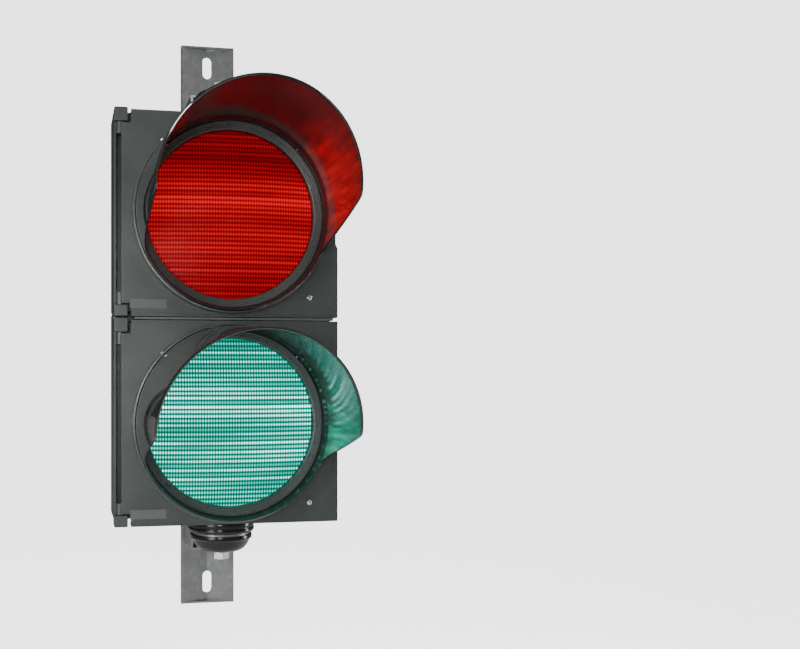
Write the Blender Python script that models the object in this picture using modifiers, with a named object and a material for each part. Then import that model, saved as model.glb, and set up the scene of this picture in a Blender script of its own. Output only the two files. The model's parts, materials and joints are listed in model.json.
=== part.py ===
"""Two-section traffic signal head with 200 mm lenses, held by an upper and a lower swivel bracket.

Axes: +X to the right of someone facing the lenses, +Z up, and the lenses face -Y. The origin lies on
the wall or pole face, midway between the two bracket plates. All sizes are in metres.
"""

import math

import bmesh
import bpy
from mathutils import Matrix, Vector

# Head
PITCH = 0.254  # height of one section
HALF_WIDTH = 0.139
FRONT_Y = -0.178  # front face of the doors
HEAD_DEPTH = 0.084
WALL = 0.003
GAP = 0.0003  # between pieces that touch
SEAM_Z = 0.008  # height of the joint between the rear shells
LENS_X = 0.003  # the lenses sit a little off the swivel axis, away from the hinges

# Doors
DOOR_DEPTH = 0.0245
DOOR_HALF_HEIGHT = 0.1248
DOOR_LEFT = -0.1304
PANEL = 0.003
TRAY_WALL = 0.0028
RETURN_WALL_X = -0.1183
RETURN_WALL_DEPTH = 0.012
EDGE_STEP = 0.003
EDGE_STEP_DEPTH = 0.0012
RING_RADIUS = 0.1205
RING_DEPTH = 0.0185
RING_WALL = 0.004
LIP_HEIGHT = 0.005
LENS_OPENING = 0.1035
GRIP_HALF_LENGTH = 0.039
GRIP_REACH = 0.010
GRIP_DEPTH = 0.004

# Rear shells
SHELL_RIGHT = 0.134
SHELL_BOTTOM = -0.246
SHOULDER_Y = FRONT_Y + DOOR_DEPTH + 0.0008
REAR_Y = FRONT_Y + HEAD_DEPTH
SPIGOT_Y = FRONT_Y + 0.009
SPIGOT_WALL = 0.0025
SPIGOT_LEFT = -0.1125
SPIGOT_RIGHT = 0.1295
SPIGOT_LOW = -0.1175
SPIGOT_HIGH = 0.1205
FLANGE_Y = FRONT_Y + 0.0105
FLANGE_WALL = 0.0028

# Door hinges
HINGE_X = -0.1315
HINGE_Y = FRONT_Y + 0.007
LUG_RIGHT = -0.1225
LUG_TOP_HEIGHT = 0.017
LUG_BOTTOM_HEIGHT = 0.014
LUG_SIDE_GAP = 0.0037
KNUCKLE_RADIUS = 0.0052
KNUCKLE_LENGTH = 0.014
PIN_RADIUS = 0.0019

# Door screws
SCREW_X = 0.102
SCREW_OFFSET = 0.100
SCREW_SHANK = 0.002
SCREW_HEAD = 0.0036
SCREW_HEAD_HEIGHT = 0.0024
SCREW_LENGTH = 0.030
POST_RADIUS = 0.0065
POST_BORE = 0.0034
POST_Y = FRONT_Y + 0.022
POST_BORE_DEPTH = 0.016

# Visors: distances forward of the door face, and heights from the lens axis
VISOR_WALL = 0.0025
VISOR_ROOT_RADIUS = 0.1185
VISOR_FRONT_RADIUS = 0.1085
VISOR_TOP_LENGTH = 0.214
VISOR_CORNER = (0.178, -0.005)
VISOR_EDGE_MIDDLE = (0.060, -0.036)
VISOR_RING_END = (0.026, -0.050)
VISOR_CORNER_RADIUS = 0.006
SLEEVE_OUTER = 0.1162
SLEEVE_START = 0.0075

# Lamp modules: distances behind the door face
LENS_EDGE_RADIUS = 0.1028
LENS_FLANGE_RADIUS = 0.1095
LENS_CROWN = 0.010
LENS_THICKNESS = 0.0026
SEAL_THICKNESS = 0.002
MODULE_RADIUS = 0.104
MODULE_DEPTH = 0.050
MODULE_WALL = 0.0025

# Brackets
SWIVEL_Y = FRONT_Y + 0.055
TONGUE_Z = 0.268  # inner face of each tongue, from the middle of the head
COLLAR_HEIGHT = 0.0133
COLLAR_RADIUS = 0.0425
COLLAR_NECK = 0.027
ARM_HALF_WIDTH = 0.033
ARM_HEIGHT = 0.034
ARM_WALL = 0.003
ARM_TOP_END_Y = -0.074
ARM_SIDE_END_Y = -0.0955
TONGUE_RADIUS = 0.0365
CAP_RADIUS = 0.0395
CAP_HEIGHT = 0.0225
BOLT_RADIUS = 0.006
BOLT_BORE = 0.0064
HEX_RADIUS = 0.011
HEX_HEIGHT = 0.0075
WASHER_RADIUS = 0.0125
WASHER_THICKNESS = 0.002
PLATE_HALF_WIDTH = 0.037
PLATE_DEPTH = 0.010
PLATE_CREASE = 0.004
PLATE_END_Z = 0.390
PLATE_LIP = 0.003
PLATE_INNER_OVERHANG = 0.007
SLOT_WIDTH = 0.013
SLOT_LENGTH = 0.031
SLOT_FROM_END = 0.0127

# Section coupler and wiring
COUPLER_RADIUS = 0.016
COUPLER_BORE = 0.011
COUPLER_NUT_RADIUS = 0.022
COUPLER_NUT_HEIGHT = 0.006
GROMMET_Z = -0.222
GROMMET_BORE = 0.010
TERMINAL_SIZE = (0.080, 0.0205, 0.022)

SECTIONS = (("upper", PITCH / 2), ("lower", -PITCH / 2))
ROUND_STEPS = 64
SMALL_STEPS = 20

# Local axes for outlines: (across, up, through) as world directions
IN_PLAN = Matrix(((1, 0, 0), (0, 1, 0), (0, 0, 1))).to_4x4()
IN_SIDE_VIEW = Matrix(((0, 0, 1), (1, 0, 0), (0, 1, 0))).to_4x4()
FACING_FRONT = Matrix.Rotation(math.pi / 2, 4, "X")

for stale in list(bpy.data.objects):
    bpy.data.objects.remove(stale)

PARTS = bpy.data.collections.new("traffic_signal_head")
CUTTERS = bpy.data.collections.new("cutters")
for collection in (PARTS, CUTTERS):
    bpy.context.scene.collection.children.link(collection)


def material(name, colour, roughness, metallic=0.0):
    """A Principled material with one colour."""
    made = bpy.data.materials.new(name)
    made.use_nodes = True
    shader = made.node_tree.nodes["Principled BSDF"]
    shader.inputs["Base Color"].default_value = (*colour, 1.0)
    shader.inputs["Roughness"].default_value = roughness
    shader.inputs["Metallic"].default_value = metallic
    return made


def place(obj, paint=None):
    """Puts a piece in the parts collection, or a helper solid in the cutters."""
    if paint is None:
        CUTTERS.objects.link(obj)
        obj.hide_render = True
        obj.display_type = "WIRE"
    else:
        PARTS.objects.link(obj)
        obj.data.materials.append(paint)
    return obj


def box(name, low, high, paint=None, bevel=0.0):
    """A cuboid between two corners, with its edges rounded if bevel is given."""
    low = Vector(low)
    high = Vector(high)
    bm = bmesh.new()
    bmesh.ops.create_cube(bm, size=1.0)
    bmesh.ops.scale(bm, vec=high - low, verts=bm.verts)
    mesh = bpy.data.meshes.new(name)
    bm.to_mesh(mesh)
    bm.free()
    obj = bpy.data.objects.new(name, mesh)
    obj.location = (low + high) / 2
    if bevel:
        rounding = obj.modifiers.new("Rounded edges", "BEVEL")
        rounding.width = bevel
        rounding.segments = 2
    return place(obj, paint)


def cylinder(name, radius, start, end, paint=None, steps=SMALL_STEPS):
    """A cylinder, or a prism with few steps, between two points."""
    start = Vector(start)
    end = Vector(end)
    bm = bmesh.new()
    bmesh.ops.create_cone(
        bm, cap_ends=True, segments=steps, radius1=radius, radius2=radius, depth=(end - start).length
    )
    mesh = bpy.data.meshes.new(name)
    bm.to_mesh(mesh)
    bm.free()
    obj = bpy.data.objects.new(name, mesh)
    obj.rotation_euler = (end - start).to_track_quat("Z", "Y").to_euler()
    obj.location = (start + end) / 2
    return place(obj, paint)


def turned(name, profile, origin, paint=None, facing=FACING_FRONT, steps=ROUND_STEPS):
    """A solid of revolution from (radius, height) pairs that run down the outer side first.

    With FACING_FRONT the height is measured towards the front from the origin. A profile that
    starts and ends on the axis is left open there, and any other is closed into a ring.
    """
    mesh = bpy.data.meshes.new(name)
    edges = [(i, i + 1) for i in range(len(profile) - 1)]
    on_axis = profile[0][0] == 0.0 and profile[-1][0] == 0.0
    if not on_axis:
        edges.append((len(profile) - 1, 0))
    mesh.from_pydata([(radius, 0.0, height) for radius, height in profile], edges, [])
    obj = bpy.data.objects.new(name, mesh)
    obj.matrix_world = Matrix.Translation(origin) @ facing
    screw = obj.modifiers.new("Turned", "SCREW")
    screw.steps = steps
    screw.render_steps = steps
    screw.use_merge_vertices = True
    screw.merge_threshold = 0.00001
    return place(obj, paint)


def slab(name, outline, thickness, middle, view, paint=None):
    """A flat outline drawn in one of the view frames, half its thickness each side of middle."""
    curve = bpy.data.curves.new(name, "CURVE")
    curve.dimensions = "2D"
    curve.fill_mode = "BOTH"
    curve.extrude = thickness / 2
    spline = curve.splines.new("POLY")
    spline.points.add(len(outline) - 1)
    for point, (across, up) in zip(spline.points, outline):
        point.co = (across, up, 0.0, 1.0)
    spline.use_cyclic_u = True
    source = bpy.data.objects.new("outline", curve)
    bpy.context.scene.collection.objects.link(source)
    source.matrix_world = Matrix.Translation(middle) @ view
    bpy.context.view_layer.update()
    evaluated = source.evaluated_get(bpy.context.evaluated_depsgraph_get())
    mesh = bpy.data.meshes.new_from_object(evaluated)
    bm = bmesh.new()
    bm.from_mesh(mesh)
    bmesh.ops.remove_doubles(bm, verts=bm.verts, dist=0.000001)
    bmesh.ops.recalc_face_normals(bm, faces=bm.faces)
    bm.to_mesh(mesh)
    bm.free()
    obj = bpy.data.objects.new(name, mesh)
    obj.matrix_world = source.matrix_world.copy()
    bpy.data.objects.remove(source)
    return place(obj, paint)


def boolean(obj, helper, operation):
    """Cuts a helper solid from a piece, or joins it on."""
    step = obj.modifiers.new(helper.name, "BOOLEAN")
    step.operation = operation
    step.object = helper
    step.solver = "EXACT"


def cut(obj, *helpers):
    for helper in helpers:
        boolean(obj, helper, "DIFFERENCE")


def join(obj, *helpers):
    for helper in helpers:
        boolean(obj, helper, "UNION")


def axis_empty(name, location, parent=None):
    """An empty on a joint's axis, which carries the pieces that move about it."""
    empty = bpy.data.objects.new(name, None)
    empty.location = location
    PARTS.objects.link(empty)
    if parent:
        bpy.context.view_layer.update()
        empty.parent = parent
        empty.matrix_parent_inverse = parent.matrix_world.inverted()
    return empty


def carry(empty, *objects):
    """Parents pieces to an empty without moving them."""
    bpy.context.view_layer.update()
    for obj in objects:
        obj.parent = empty
        obj.matrix_parent_inverse = empty.matrix_world.inverted()


def arc(centre, radius, start, end, count):
    """Points along an arc, with angles in degrees."""
    points = []
    for i in range(count + 1):
        angle = math.radians(start + (end - start) * i / count)
        points.append((centre[0] + radius * math.cos(angle), centre[1] + radius * math.sin(angle)))
    return points


MOULDED = material("moulded_grey", (0.075, 0.085, 0.078), 0.55)
GLOSS = material("visor_black", (0.012, 0.013, 0.013), 0.18)
RUBBER = material("rubber_black", (0.02, 0.02, 0.02), 0.8)
CAP_BLACK = material("cap_black", (0.014, 0.014, 0.015), 0.3)
STEEL = material("bracket_steel", (0.36, 0.39, 0.38), 0.45, 0.6)
ZINC = material("zinc_plated", (0.62, 0.63, 0.64), 0.3, 1.0)
RED_LENS = material("lens_red", (0.8, 0.02, 0.01), 0.2)
GREEN_LENS = material("lens_green", (0.05, 0.75, 0.6), 0.2)
CLEAR = material("inner_lens", (0.85, 0.87, 0.87), 0.1)
BOARD = material("board_green", (0.02, 0.16, 0.07), 0.5)
MODULE_GREY = material("module_grey", (0.16, 0.16, 0.16), 0.6)
TERMINAL_WHITE = material("terminal_white", (0.75, 0.74, 0.7), 0.5)


def top_or_bottom(name):
    """The mirror direction of a bracket: up at the upper end of the head and down at the lower."""
    return 1.0 if name == "upper" else -1.0


def body_span(name):
    """Lowest and highest point of a rear shell."""
    if name == "upper":
        return SEAM_Z + GAP / 2, PITCH
    return SHELL_BOTTOM, SEAM_Z - GAP / 2


def rear_shell(name, centre):
    """Box-shaped shell with a spigot that enters the door, hinge lugs and screw posts."""
    low, high = body_span(name)
    tag = "shell_" + name
    shell = box(
        "rear_shell_" + name,
        (-HALF_WIDTH, SHOULDER_Y, low),
        (SHELL_RIGHT, REAR_Y, high),
        MOULDED,
        bevel=0.002,
    )
    spigot_low = centre + SPIGOT_LOW
    spigot_high = centre + SPIGOT_HIGH
    join(
        shell,
        box(
            tag + "_spigot",
            (SPIGOT_LEFT, SPIGOT_Y, spigot_low),
            (SPIGOT_RIGHT, SHOULDER_Y + WALL, spigot_high),
        ),
        box(
            tag + "_flange",
            (-HALF_WIDTH + 0.0001, FLANGE_Y, low + WALL),
            (-HALF_WIDTH + FLANGE_WALL, SHOULDER_Y + WALL, centre + PITCH / 2 - WALL),
        ),
    )
    lugs = (
        ("top", centre + PITCH / 2 - LUG_TOP_HEIGHT, centre + PITCH / 2 - 0.0002),
        ("bottom", centre - DOOR_HALF_HEIGHT, centre - DOOR_HALF_HEIGHT + LUG_BOTTOM_HEIGHT),
    )
    for end, lug_low, lug_high in lugs:
        join(
            shell,
            box(
                f"{tag}_lug_{end}",
                (-HALF_WIDTH + 0.0001, FRONT_Y, lug_low),
                (LUG_RIGHT, SHOULDER_Y - 0.0004, lug_high),
                bevel=0.001,
            ),
            box(
                f"{tag}_lug_root_{end}",
                (-HALF_WIDTH + 0.0027, SHOULDER_Y - 0.003, max(lug_low, low + 0.002) + 0.001),
                (LUG_RIGHT - 0.0005, SHOULDER_Y + 0.0028, min(lug_high, high - 0.002) - 0.001),
            ),
        )
        bore_end = lug_high - 0.0015 if end == "top" else lug_low + 0.0015
        bore_start = lug_low - 0.001 if end == "top" else lug_high + 0.001
        cut(
            shell,
            cylinder(
                f"{tag}_pin_bore_{end}",
                PIN_RADIUS + GAP,
                (HINGE_X, HINGE_Y, bore_start),
                (HINGE_X, HINGE_Y, bore_end),
            ),
        )
    cut(
        shell,
        box(
            tag + "_cavity",
            (-HALF_WIDTH + WALL, SHOULDER_Y + WALL, low + WALL),
            (SHELL_RIGHT - WALL, REAR_Y - WALL, high - WALL),
        ),
        box(
            tag + "_mouth",
            (SPIGOT_LEFT + SPIGOT_WALL, SPIGOT_Y - 0.001, spigot_low + SPIGOT_WALL),
            (SPIGOT_RIGHT - SPIGOT_WALL, SHOULDER_Y + WALL + 0.001, spigot_high - SPIGOT_WALL),
        ),
    )
    for side in (-1, 1):
        z = centre + side * SCREW_OFFSET
        join(
            shell,
            cylinder(
                f"{tag}_post_{side}",
                POST_RADIUS,
                (SCREW_X, POST_Y, z),
                (SCREW_X, REAR_Y - WALL / 2, z),
            ),
        )
        cut(
            shell,
            cylinder(
                f"{tag}_post_bore_{side}",
                POST_BORE,
                (SCREW_X, POST_Y - 0.001, z),
                (SCREW_X, POST_Y + POST_BORE_DEPTH, z),
            ),
        )
    outer = high if name == "upper" else low
    cut(
        shell,
        cylinder(
            tag + "_swivel_hole",
            BOLT_BORE,
            (0.0, SWIVEL_Y, outer - 0.01),
            (0.0, SWIVEL_Y, outer + 0.01),
        ),
        cylinder(
            tag + "_coupler_hole",
            COUPLER_RADIUS + GAP,
            (0.0, SWIVEL_Y, SEAM_Z - 0.008),
            (0.0, SWIVEL_Y, SEAM_Z + 0.008),
            steps=32,
        ),
    )
    return shell


def seam_slot(shell):
    """Small pry slot beside the seam, on the screw side of the lower shell."""
    cut(
        shell,
        box(
            "seam_slot",
            (SHELL_RIGHT - 0.0015, SHOULDER_Y + 0.0005, SEAM_Z - 0.0045),
            (SHELL_RIGHT + 0.001, SHOULDER_Y + 0.0115, SEAM_Z - 0.0012),
        ),
    )
    join(
        shell,
        box(
            "seam_tab",
            (SHELL_RIGHT - 0.001, SHOULDER_Y + 0.0122, SEAM_Z - 0.0045),
            (SHELL_RIGHT + 0.0008, SHOULDER_Y + 0.0172, SEAM_Z - 0.0008),
        ),
    )


def door_panel(name, centre):
    """Door tray with the raised lens ring, hinge knuckles, edge step and finger grip."""
    tag = "door_" + name
    low = centre - DOOR_HALF_HEIGHT
    high = centre + DOOR_HALF_HEIGHT
    back = FRONT_Y + DOOR_DEPTH
    inside = FRONT_Y + PANEL
    door = box(
        tag + "_panel",
        (DOOR_LEFT, FRONT_Y, low),
        (HALF_WIDTH, back, high),
        MOULDED,
        bevel=0.0012,
    )
    return_inner = RETURN_WALL_X + SPIGOT_WALL
    cut(
        door,
        box(
            tag + "_cavity",
            (return_inner, inside, low + TRAY_WALL),
            (HALF_WIDTH - TRAY_WALL, back + 0.001, high - TRAY_WALL),
        ),
        box(
            tag + "_hinge_channel",
            (-HALF_WIDTH, inside, low - 0.001),
            (RETURN_WALL_X, back + 0.001, high + 0.001),
        ),
        box(
            tag + "_return_trim",
            (RETURN_WALL_X - 0.001, FRONT_Y + RETURN_WALL_DEPTH, low + TRAY_WALL),
            (return_inner + 0.001, back + 0.001, high - TRAY_WALL),
        ),
    )
    notches = (
        ("top", centre + PITCH / 2 - LUG_TOP_HEIGHT - 0.0018, high + 0.002),
        ("bottom", low - 0.002, low + LUG_BOTTOM_HEIGHT + 0.0018),
    )
    for end, notch_low, notch_high in notches:
        cut(
            door,
            box(
                f"{tag}_lug_notch_{end}",
                (-HALF_WIDTH, FRONT_Y - 0.001, notch_low),
                (LUG_RIGHT + LUG_SIDE_GAP, inside + 0.001, notch_high),
            ),
        )
    knuckles = (
        ("top", centre + PITCH / 2 - LUG_TOP_HEIGHT - 0.0005 - KNUCKLE_LENGTH),
        ("bottom", low + LUG_BOTTOM_HEIGHT + 0.0005),
    )
    for end, start in knuckles:
        stop = start + KNUCKLE_LENGTH
        join(
            door,
            box(
                f"{tag}_knuckle_block_{end}",
                (HINGE_X + 0.0015, FRONT_Y + 0.0015, start + 0.0025),
                (RETURN_WALL_X + 0.001, HINGE_Y + 0.004, stop - 0.0025),
            ),
            cylinder(
                f"{tag}_knuckle_{end}",
                KNUCKLE_RADIUS,
                (HINGE_X, HINGE_Y, start),
                (HINGE_X, HINGE_Y, stop),
            ),
        )
        cut(
            door,
            cylinder(
                f"{tag}_knuckle_bore_{end}",
                PIN_RADIUS + GAP,
                (HINGE_X, HINGE_Y, start - 0.001),
                (HINGE_X, HINGE_Y, stop + 0.001),
            ),
        )
    cut(
        door,
        cylinder(
            tag + "_lens_opening",
            LENS_OPENING + 0.007,
            (LENS_X + 0.0003, FRONT_Y - 0.03, centre + 0.0005),
            (LENS_X + 0.0003, FRONT_Y + 0.01, centre + 0.0005),
            steps=46,
        ),
        box(
            tag + "_step_top",
            (-HALF_WIDTH, FRONT_Y - 0.001, high - EDGE_STEP),
            (HALF_WIDTH + 0.001, FRONT_Y + EDGE_STEP_DEPTH, high + 0.001),
        ),
        box(
            tag + "_step_bottom",
            (-HALF_WIDTH, FRONT_Y - 0.001, low - 0.001),
            (HALF_WIDTH + 0.001, FRONT_Y + EDGE_STEP_DEPTH, low + EDGE_STEP),
        ),
        box(
            tag + "_step_side",
            (HALF_WIDTH - EDGE_STEP, FRONT_Y - 0.001, low - 0.001),
            (HALF_WIDTH + 0.001, FRONT_Y + EDGE_STEP_DEPTH, high + 0.001),
        ),
    )
    ring_profile = [
        (RING_RADIUS, RING_DEPTH),
        (RING_RADIUS, -PANEL + 0.0002),
        (LENS_OPENING, -PANEL + 0.0002),
        (LENS_OPENING, LIP_HEIGHT),
        (RING_RADIUS - RING_WALL, LIP_HEIGHT + 0.002),
        (RING_RADIUS - RING_WALL, RING_DEPTH),
    ]
    join(
        door,
        turned(tag + "_ring", ring_profile, (LENS_X, FRONT_Y, centre)),
        box(
            tag + "_grip_pad",
            (HALF_WIDTH - GRIP_DEPTH - 0.0035, FRONT_Y + PANEL - 0.001, centre - 0.046),
            (HALF_WIDTH - 0.001, FRONT_Y + 0.0135, centre + 0.046),
        ),
    )
    grip = [
        (FRONT_Y - 0.002, centre + GRIP_HALF_LENGTH + 0.001),
        (FRONT_Y + GRIP_REACH, centre + GRIP_HALF_LENGTH - 0.006),
        (FRONT_Y + GRIP_REACH, centre - GRIP_HALF_LENGTH + 0.008),
        (FRONT_Y - 0.002, centre - GRIP_HALF_LENGTH - 0.001),
    ]
    grip_middle = (HALF_WIDTH, 0.0, 0.0)
    cut(door, slab(tag + "_grip", grip, 2 * GRIP_DEPTH, grip_middle, IN_SIDE_VIEW))
    for side in (-1, 1):
        z = centre + side * SCREW_OFFSET
        cut(
            door,
            cylinder(
                f"{tag}_screw_hole_{side}",
                SCREW_SHANK + GAP,
                (SCREW_X, FRONT_Y - 0.01, z),
                (SCREW_X, FRONT_Y + 0.01, z),
            ),
        )
    return door


def door_gasket(name, centre):
    """Seal that the spigot's rim presses against, glued inside the door."""
    reach = 0.0018
    front = FRONT_Y + PANEL + GAP
    rear = SPIGOT_Y - GAP
    outer_low = centre + SPIGOT_LOW - reach
    outer_high = centre + SPIGOT_HIGH + reach - 0.0004
    left = SPIGOT_LEFT - reach + 0.0004
    right = SPIGOT_RIGHT + GAP
    width = SPIGOT_WALL + reach + 0.001
    seal = box(
        "door_gasket_" + name, (left, front, outer_low), (right, rear, outer_high), RUBBER
    )
    cut(
        seal,
        box(
            f"gasket_{name}_middle",
            (left + width, front - 0.001, outer_low + width),
            (right - width, rear + 0.001, outer_high - width),
        ),
    )
    return seal


def lens(name, centre, paint):
    """Domed outer lens with a flange behind the door's lip."""
    edge = -(PANEL + SEAL_THICKNESS + 2 * GAP)
    flange_back = edge - LENS_THICKNESS
    sag = LENS_CROWN + 0.002
    sphere = (LENS_EDGE_RADIUS**2 + sag**2) / (2 * sag)
    centre_height = LENS_CROWN - sphere
    outer = []
    inner = []
    for i in range(6):
        radius = LENS_EDGE_RADIUS * i / 5
        outer.append((radius, centre_height + math.sqrt(sphere**2 - radius**2)))
        inside = radius * (LENS_EDGE_RADIUS - LENS_THICKNESS) / LENS_EDGE_RADIUS
        depth = centre_height + math.sqrt((sphere - LENS_THICKNESS) ** 2 - inside**2)
        inner.append((inside, depth))
    rim = [
        (LENS_EDGE_RADIUS, edge),
        (LENS_FLANGE_RADIUS, edge),
        (LENS_FLANGE_RADIUS, flange_back),
        (inner[-1][0], flange_back),
    ]
    profile = outer + rim + inner[::-1]
    return turned("lens_" + name, profile, (LENS_X, FRONT_Y, centre), paint, steps=48)


def lens_seal(name, centre):
    """Flat rubber ring between the lens flange and the door."""
    front = -(PANEL + GAP)
    back = front - SEAL_THICKNESS
    inner = LENS_OPENING + 0.0005
    outer = LENS_FLANGE_RADIUS
    profile = [(outer, front), (outer, back), (inner, back), (inner, front)]
    return turned("lens_seal_" + name, profile, (LENS_X, FRONT_Y, centre), RUBBER, steps=48)


def module_back(name, centre):
    """Bowl-shaped rear housing of the lamp module, open towards the lens."""
    front = -(PANEL + SEAL_THICKNESS + 3 * GAP + LENS_THICKNESS)
    profile = [
        (LENS_FLANGE_RADIUS, front),
        (LENS_FLANGE_RADIUS, front - MODULE_WALL),
        (MODULE_RADIUS, front - MODULE_WALL),
        (MODULE_RADIUS - 0.004, -MODULE_DEPTH + 0.006),
        (MODULE_RADIUS - 0.011, -MODULE_DEPTH),
        (0.0, -MODULE_DEPTH),
    ]
    inner = [
        (0.0, -MODULE_DEPTH + MODULE_WALL),
        (MODULE_RADIUS - 0.012, -MODULE_DEPTH + MODULE_WALL),
        (MODULE_RADIUS - 0.004 - MODULE_WALL, -MODULE_DEPTH + 0.007),
        (MODULE_RADIUS - MODULE_WALL - 0.0005, front),
    ]
    outline = profile + inner
    return turned(
        "module_back_" + name, outline, (LENS_X, FRONT_Y, centre), MODULE_GREY, steps=48
    )


def disc(name, radius, front, back, centre, paint, steps=48):
    """Round flat piece on the lens axis, between two depths behind the door face."""
    return cylinder(
        name,
        radius,
        (LENS_X, FRONT_Y + back, centre),
        (LENS_X, FRONT_Y + front, centre),
        paint,
        steps=steps,
    )


def driver_board(name, centre):
    """Power supply board behind the light board, with its tall components."""
    y = FRONT_Y + 0.0395
    board = box(
        "driver_board_" + name,
        (LENS_X - 0.045, y, centre - 0.030),
        (LENS_X + 0.045, y + 0.0016, centre + 0.030),
        BOARD,
    )
    join(
        board,
        box(
            f"driver_{name}_transformer",
            (LENS_X - 0.03, y - 0.005, centre - 0.012),
            (LENS_X - 0.008, y + 0.0005, centre + 0.012),
        ),
        cylinder(
            f"driver_{name}_capacitor",
            0.004,
            (LENS_X + 0.02, y - 0.0048, centre + 0.01),
            (LENS_X + 0.02, y + 0.0005, centre + 0.01),
        ),
    )
    return board


def lens_clip(name, centre, angle):
    """Clip that presses the module's flange towards the door, with its foot on the door."""
    turn = math.radians(angle)
    finger_front = PANEL + SEAL_THICKNESS + 4 * GAP + LENS_THICKNESS + MODULE_WALL
    finger_back = finger_front + 0.003
    foot = box(
        f"lens_clip_{name}_{angle}",
        (LENS_FLANGE_RADIUS + 0.001, PANEL + GAP, -0.007),
        (LENS_FLANGE_RADIUS + 0.011, finger_back, 0.007),
        ZINC,
    )
    finger = box(
        f"lens_clip_finger_{name}_{angle}",
        (MODULE_RADIUS + 0.001, finger_front, -0.007),
        (LENS_FLANGE_RADIUS + 0.002, finger_back - 0.0001, 0.0069),
    )
    frame = Matrix.Translation((LENS_X, FRONT_Y, centre)) @ Matrix.Rotation(-turn, 4, "Y")
    for piece in (foot, finger):
        bpy.context.view_layer.update()
        piece.matrix_world = frame @ piece.matrix_world
    join(foot, finger)
    return foot


def visor_edge():
    """Outline, in the side view, of what is cut away from the visor's tube."""
    top_slope = (VISOR_TOP_LENGTH - VISOR_CORNER[0]) / (VISOR_FRONT_RADIUS - VISOR_CORNER[1])
    above = 0.030
    corner = Vector(VISOR_CORNER)
    to_front = Vector((top_slope, 1.0)).normalized()
    to_edge = (Vector(VISOR_EDGE_MIDDLE) - corner).normalized()
    rounded = [
        corner + to_front * VISOR_CORNER_RADIUS,
        corner + (to_front + to_edge) * VISOR_CORNER_RADIUS * 0.25,
        corner + to_edge * VISOR_CORNER_RADIUS,
    ]
    outline = [(VISOR_TOP_LENGTH + top_slope * above, VISOR_FRONT_RADIUS + above)]
    outline += [tuple(point) for point in rounded]
    outline += [VISOR_EDGE_MIDDLE, VISOR_RING_END]
    outline += [(VISOR_RING_END[0], -0.14), (0.25, -0.14), (0.25, VISOR_FRONT_RADIUS + above)]
    return outline


def visor(name, centre):
    """Cutaway visor: a full ring at the root, then a tapering tube that is open underneath."""
    end = VISOR_TOP_LENGTH + 0.003
    taper = (VISOR_ROOT_RADIUS - VISOR_FRONT_RADIUS) / (VISOR_TOP_LENGTH - RING_DEPTH)
    end_radius = VISOR_FRONT_RADIUS - taper * (end - VISOR_TOP_LENGTH)
    seat = RING_DEPTH + GAP
    sleeve_inner = SLEEVE_OUTER - VISOR_WALL
    profile = [
        (end_radius, end),
        (VISOR_ROOT_RADIUS, seat),
        (SLEEVE_OUTER, seat),
        (SLEEVE_OUTER, SLEEVE_START),
        (sleeve_inner, SLEEVE_START),
        (sleeve_inner, seat + 0.001),
        (VISOR_ROOT_RADIUS - VISOR_WALL - 0.0002, seat + 0.004),
        (end_radius - VISOR_WALL, end),
    ]
    tube = turned("visor_" + name, profile, (LENS_X, FRONT_Y, centre), GLOSS)
    outline = [(FRONT_Y - forward, centre + up) for forward, up in visor_edge()]
    away = slab(f"visor_{name}_cutaway", outline, 0.3, (LENS_X, 0.0, 0.0), IN_SIDE_VIEW)
    cut(tube, away)
    return tube


def visor_screw(name, centre, angle):
    """Small screw through the ring and into the visor's sleeve, pointing at the lens axis."""
    turn = math.radians(angle)
    direction = Vector((math.cos(turn), 0.0, math.sin(turn)))
    base = Vector((LENS_X, FRONT_Y - 0.0125, centre))
    head = cylinder(
        f"visor_screw_{name}_{angle}",
        0.0027,
        base + direction * (RING_RADIUS + GAP),
        base + direction * (RING_RADIUS + 0.0019),
        ZINC,
        steps=12,
    )
    shank = cylinder(
        f"visor_screw_shank_{name}_{angle}",
        0.0014,
        base + direction * (SLEEVE_OUTER - 0.004),
        base + direction * (RING_RADIUS + 0.001),
        steps=12,
    )
    join(head, shank)
    return head


def visor_screw_hole(name, centre, angle):
    """The hole that a visor screw passes through, in the ring and the sleeve."""
    turn = math.radians(angle)
    direction = Vector((math.cos(turn), 0.0, math.sin(turn)))
    base = Vector((LENS_X, FRONT_Y - 0.0125, centre))
    return cylinder(
        f"visor_screw_hole_{name}_{angle}",
        0.0014 + GAP,
        base + direction * (SLEEVE_OUTER - 0.006),
        base + direction * (RING_RADIUS + 0.01),
        steps=12,
    )


def door_screw(name, centre, end, side):
    """Captive screw that holds the free edge of a door. Its origin is on its own axis."""
    z = centre + side * SCREW_OFFSET
    profile = [
        (0.0, SCREW_HEAD_HEIGHT + GAP),
        (SCREW_HEAD * 0.55, SCREW_HEAD_HEIGHT + GAP),
        (SCREW_HEAD * 0.9, SCREW_HEAD_HEIGHT * 0.65 + GAP),
        (SCREW_HEAD, GAP),
        (SCREW_SHANK, GAP),
        (SCREW_SHANK, -SCREW_LENGTH + 0.001),
        (0.0, -SCREW_LENGTH),
    ]
    screw = turned(
        f"door_screw_{name}_{end}", profile, (SCREW_X, FRONT_Y, z), ZINC, steps=SMALL_STEPS
    )
    slot_low = (SCREW_X - SCREW_HEAD * 1.2, FRONT_Y - 0.01, z - 0.0004)
    slot_high = (SCREW_X + SCREW_HEAD * 1.2, FRONT_Y - GAP - SCREW_HEAD_HEIGHT * 0.55, z + 0.0004)
    cut(screw, box(f"door_screw_slot_{name}_{end}", slot_low, slot_high))
    return screw


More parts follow.
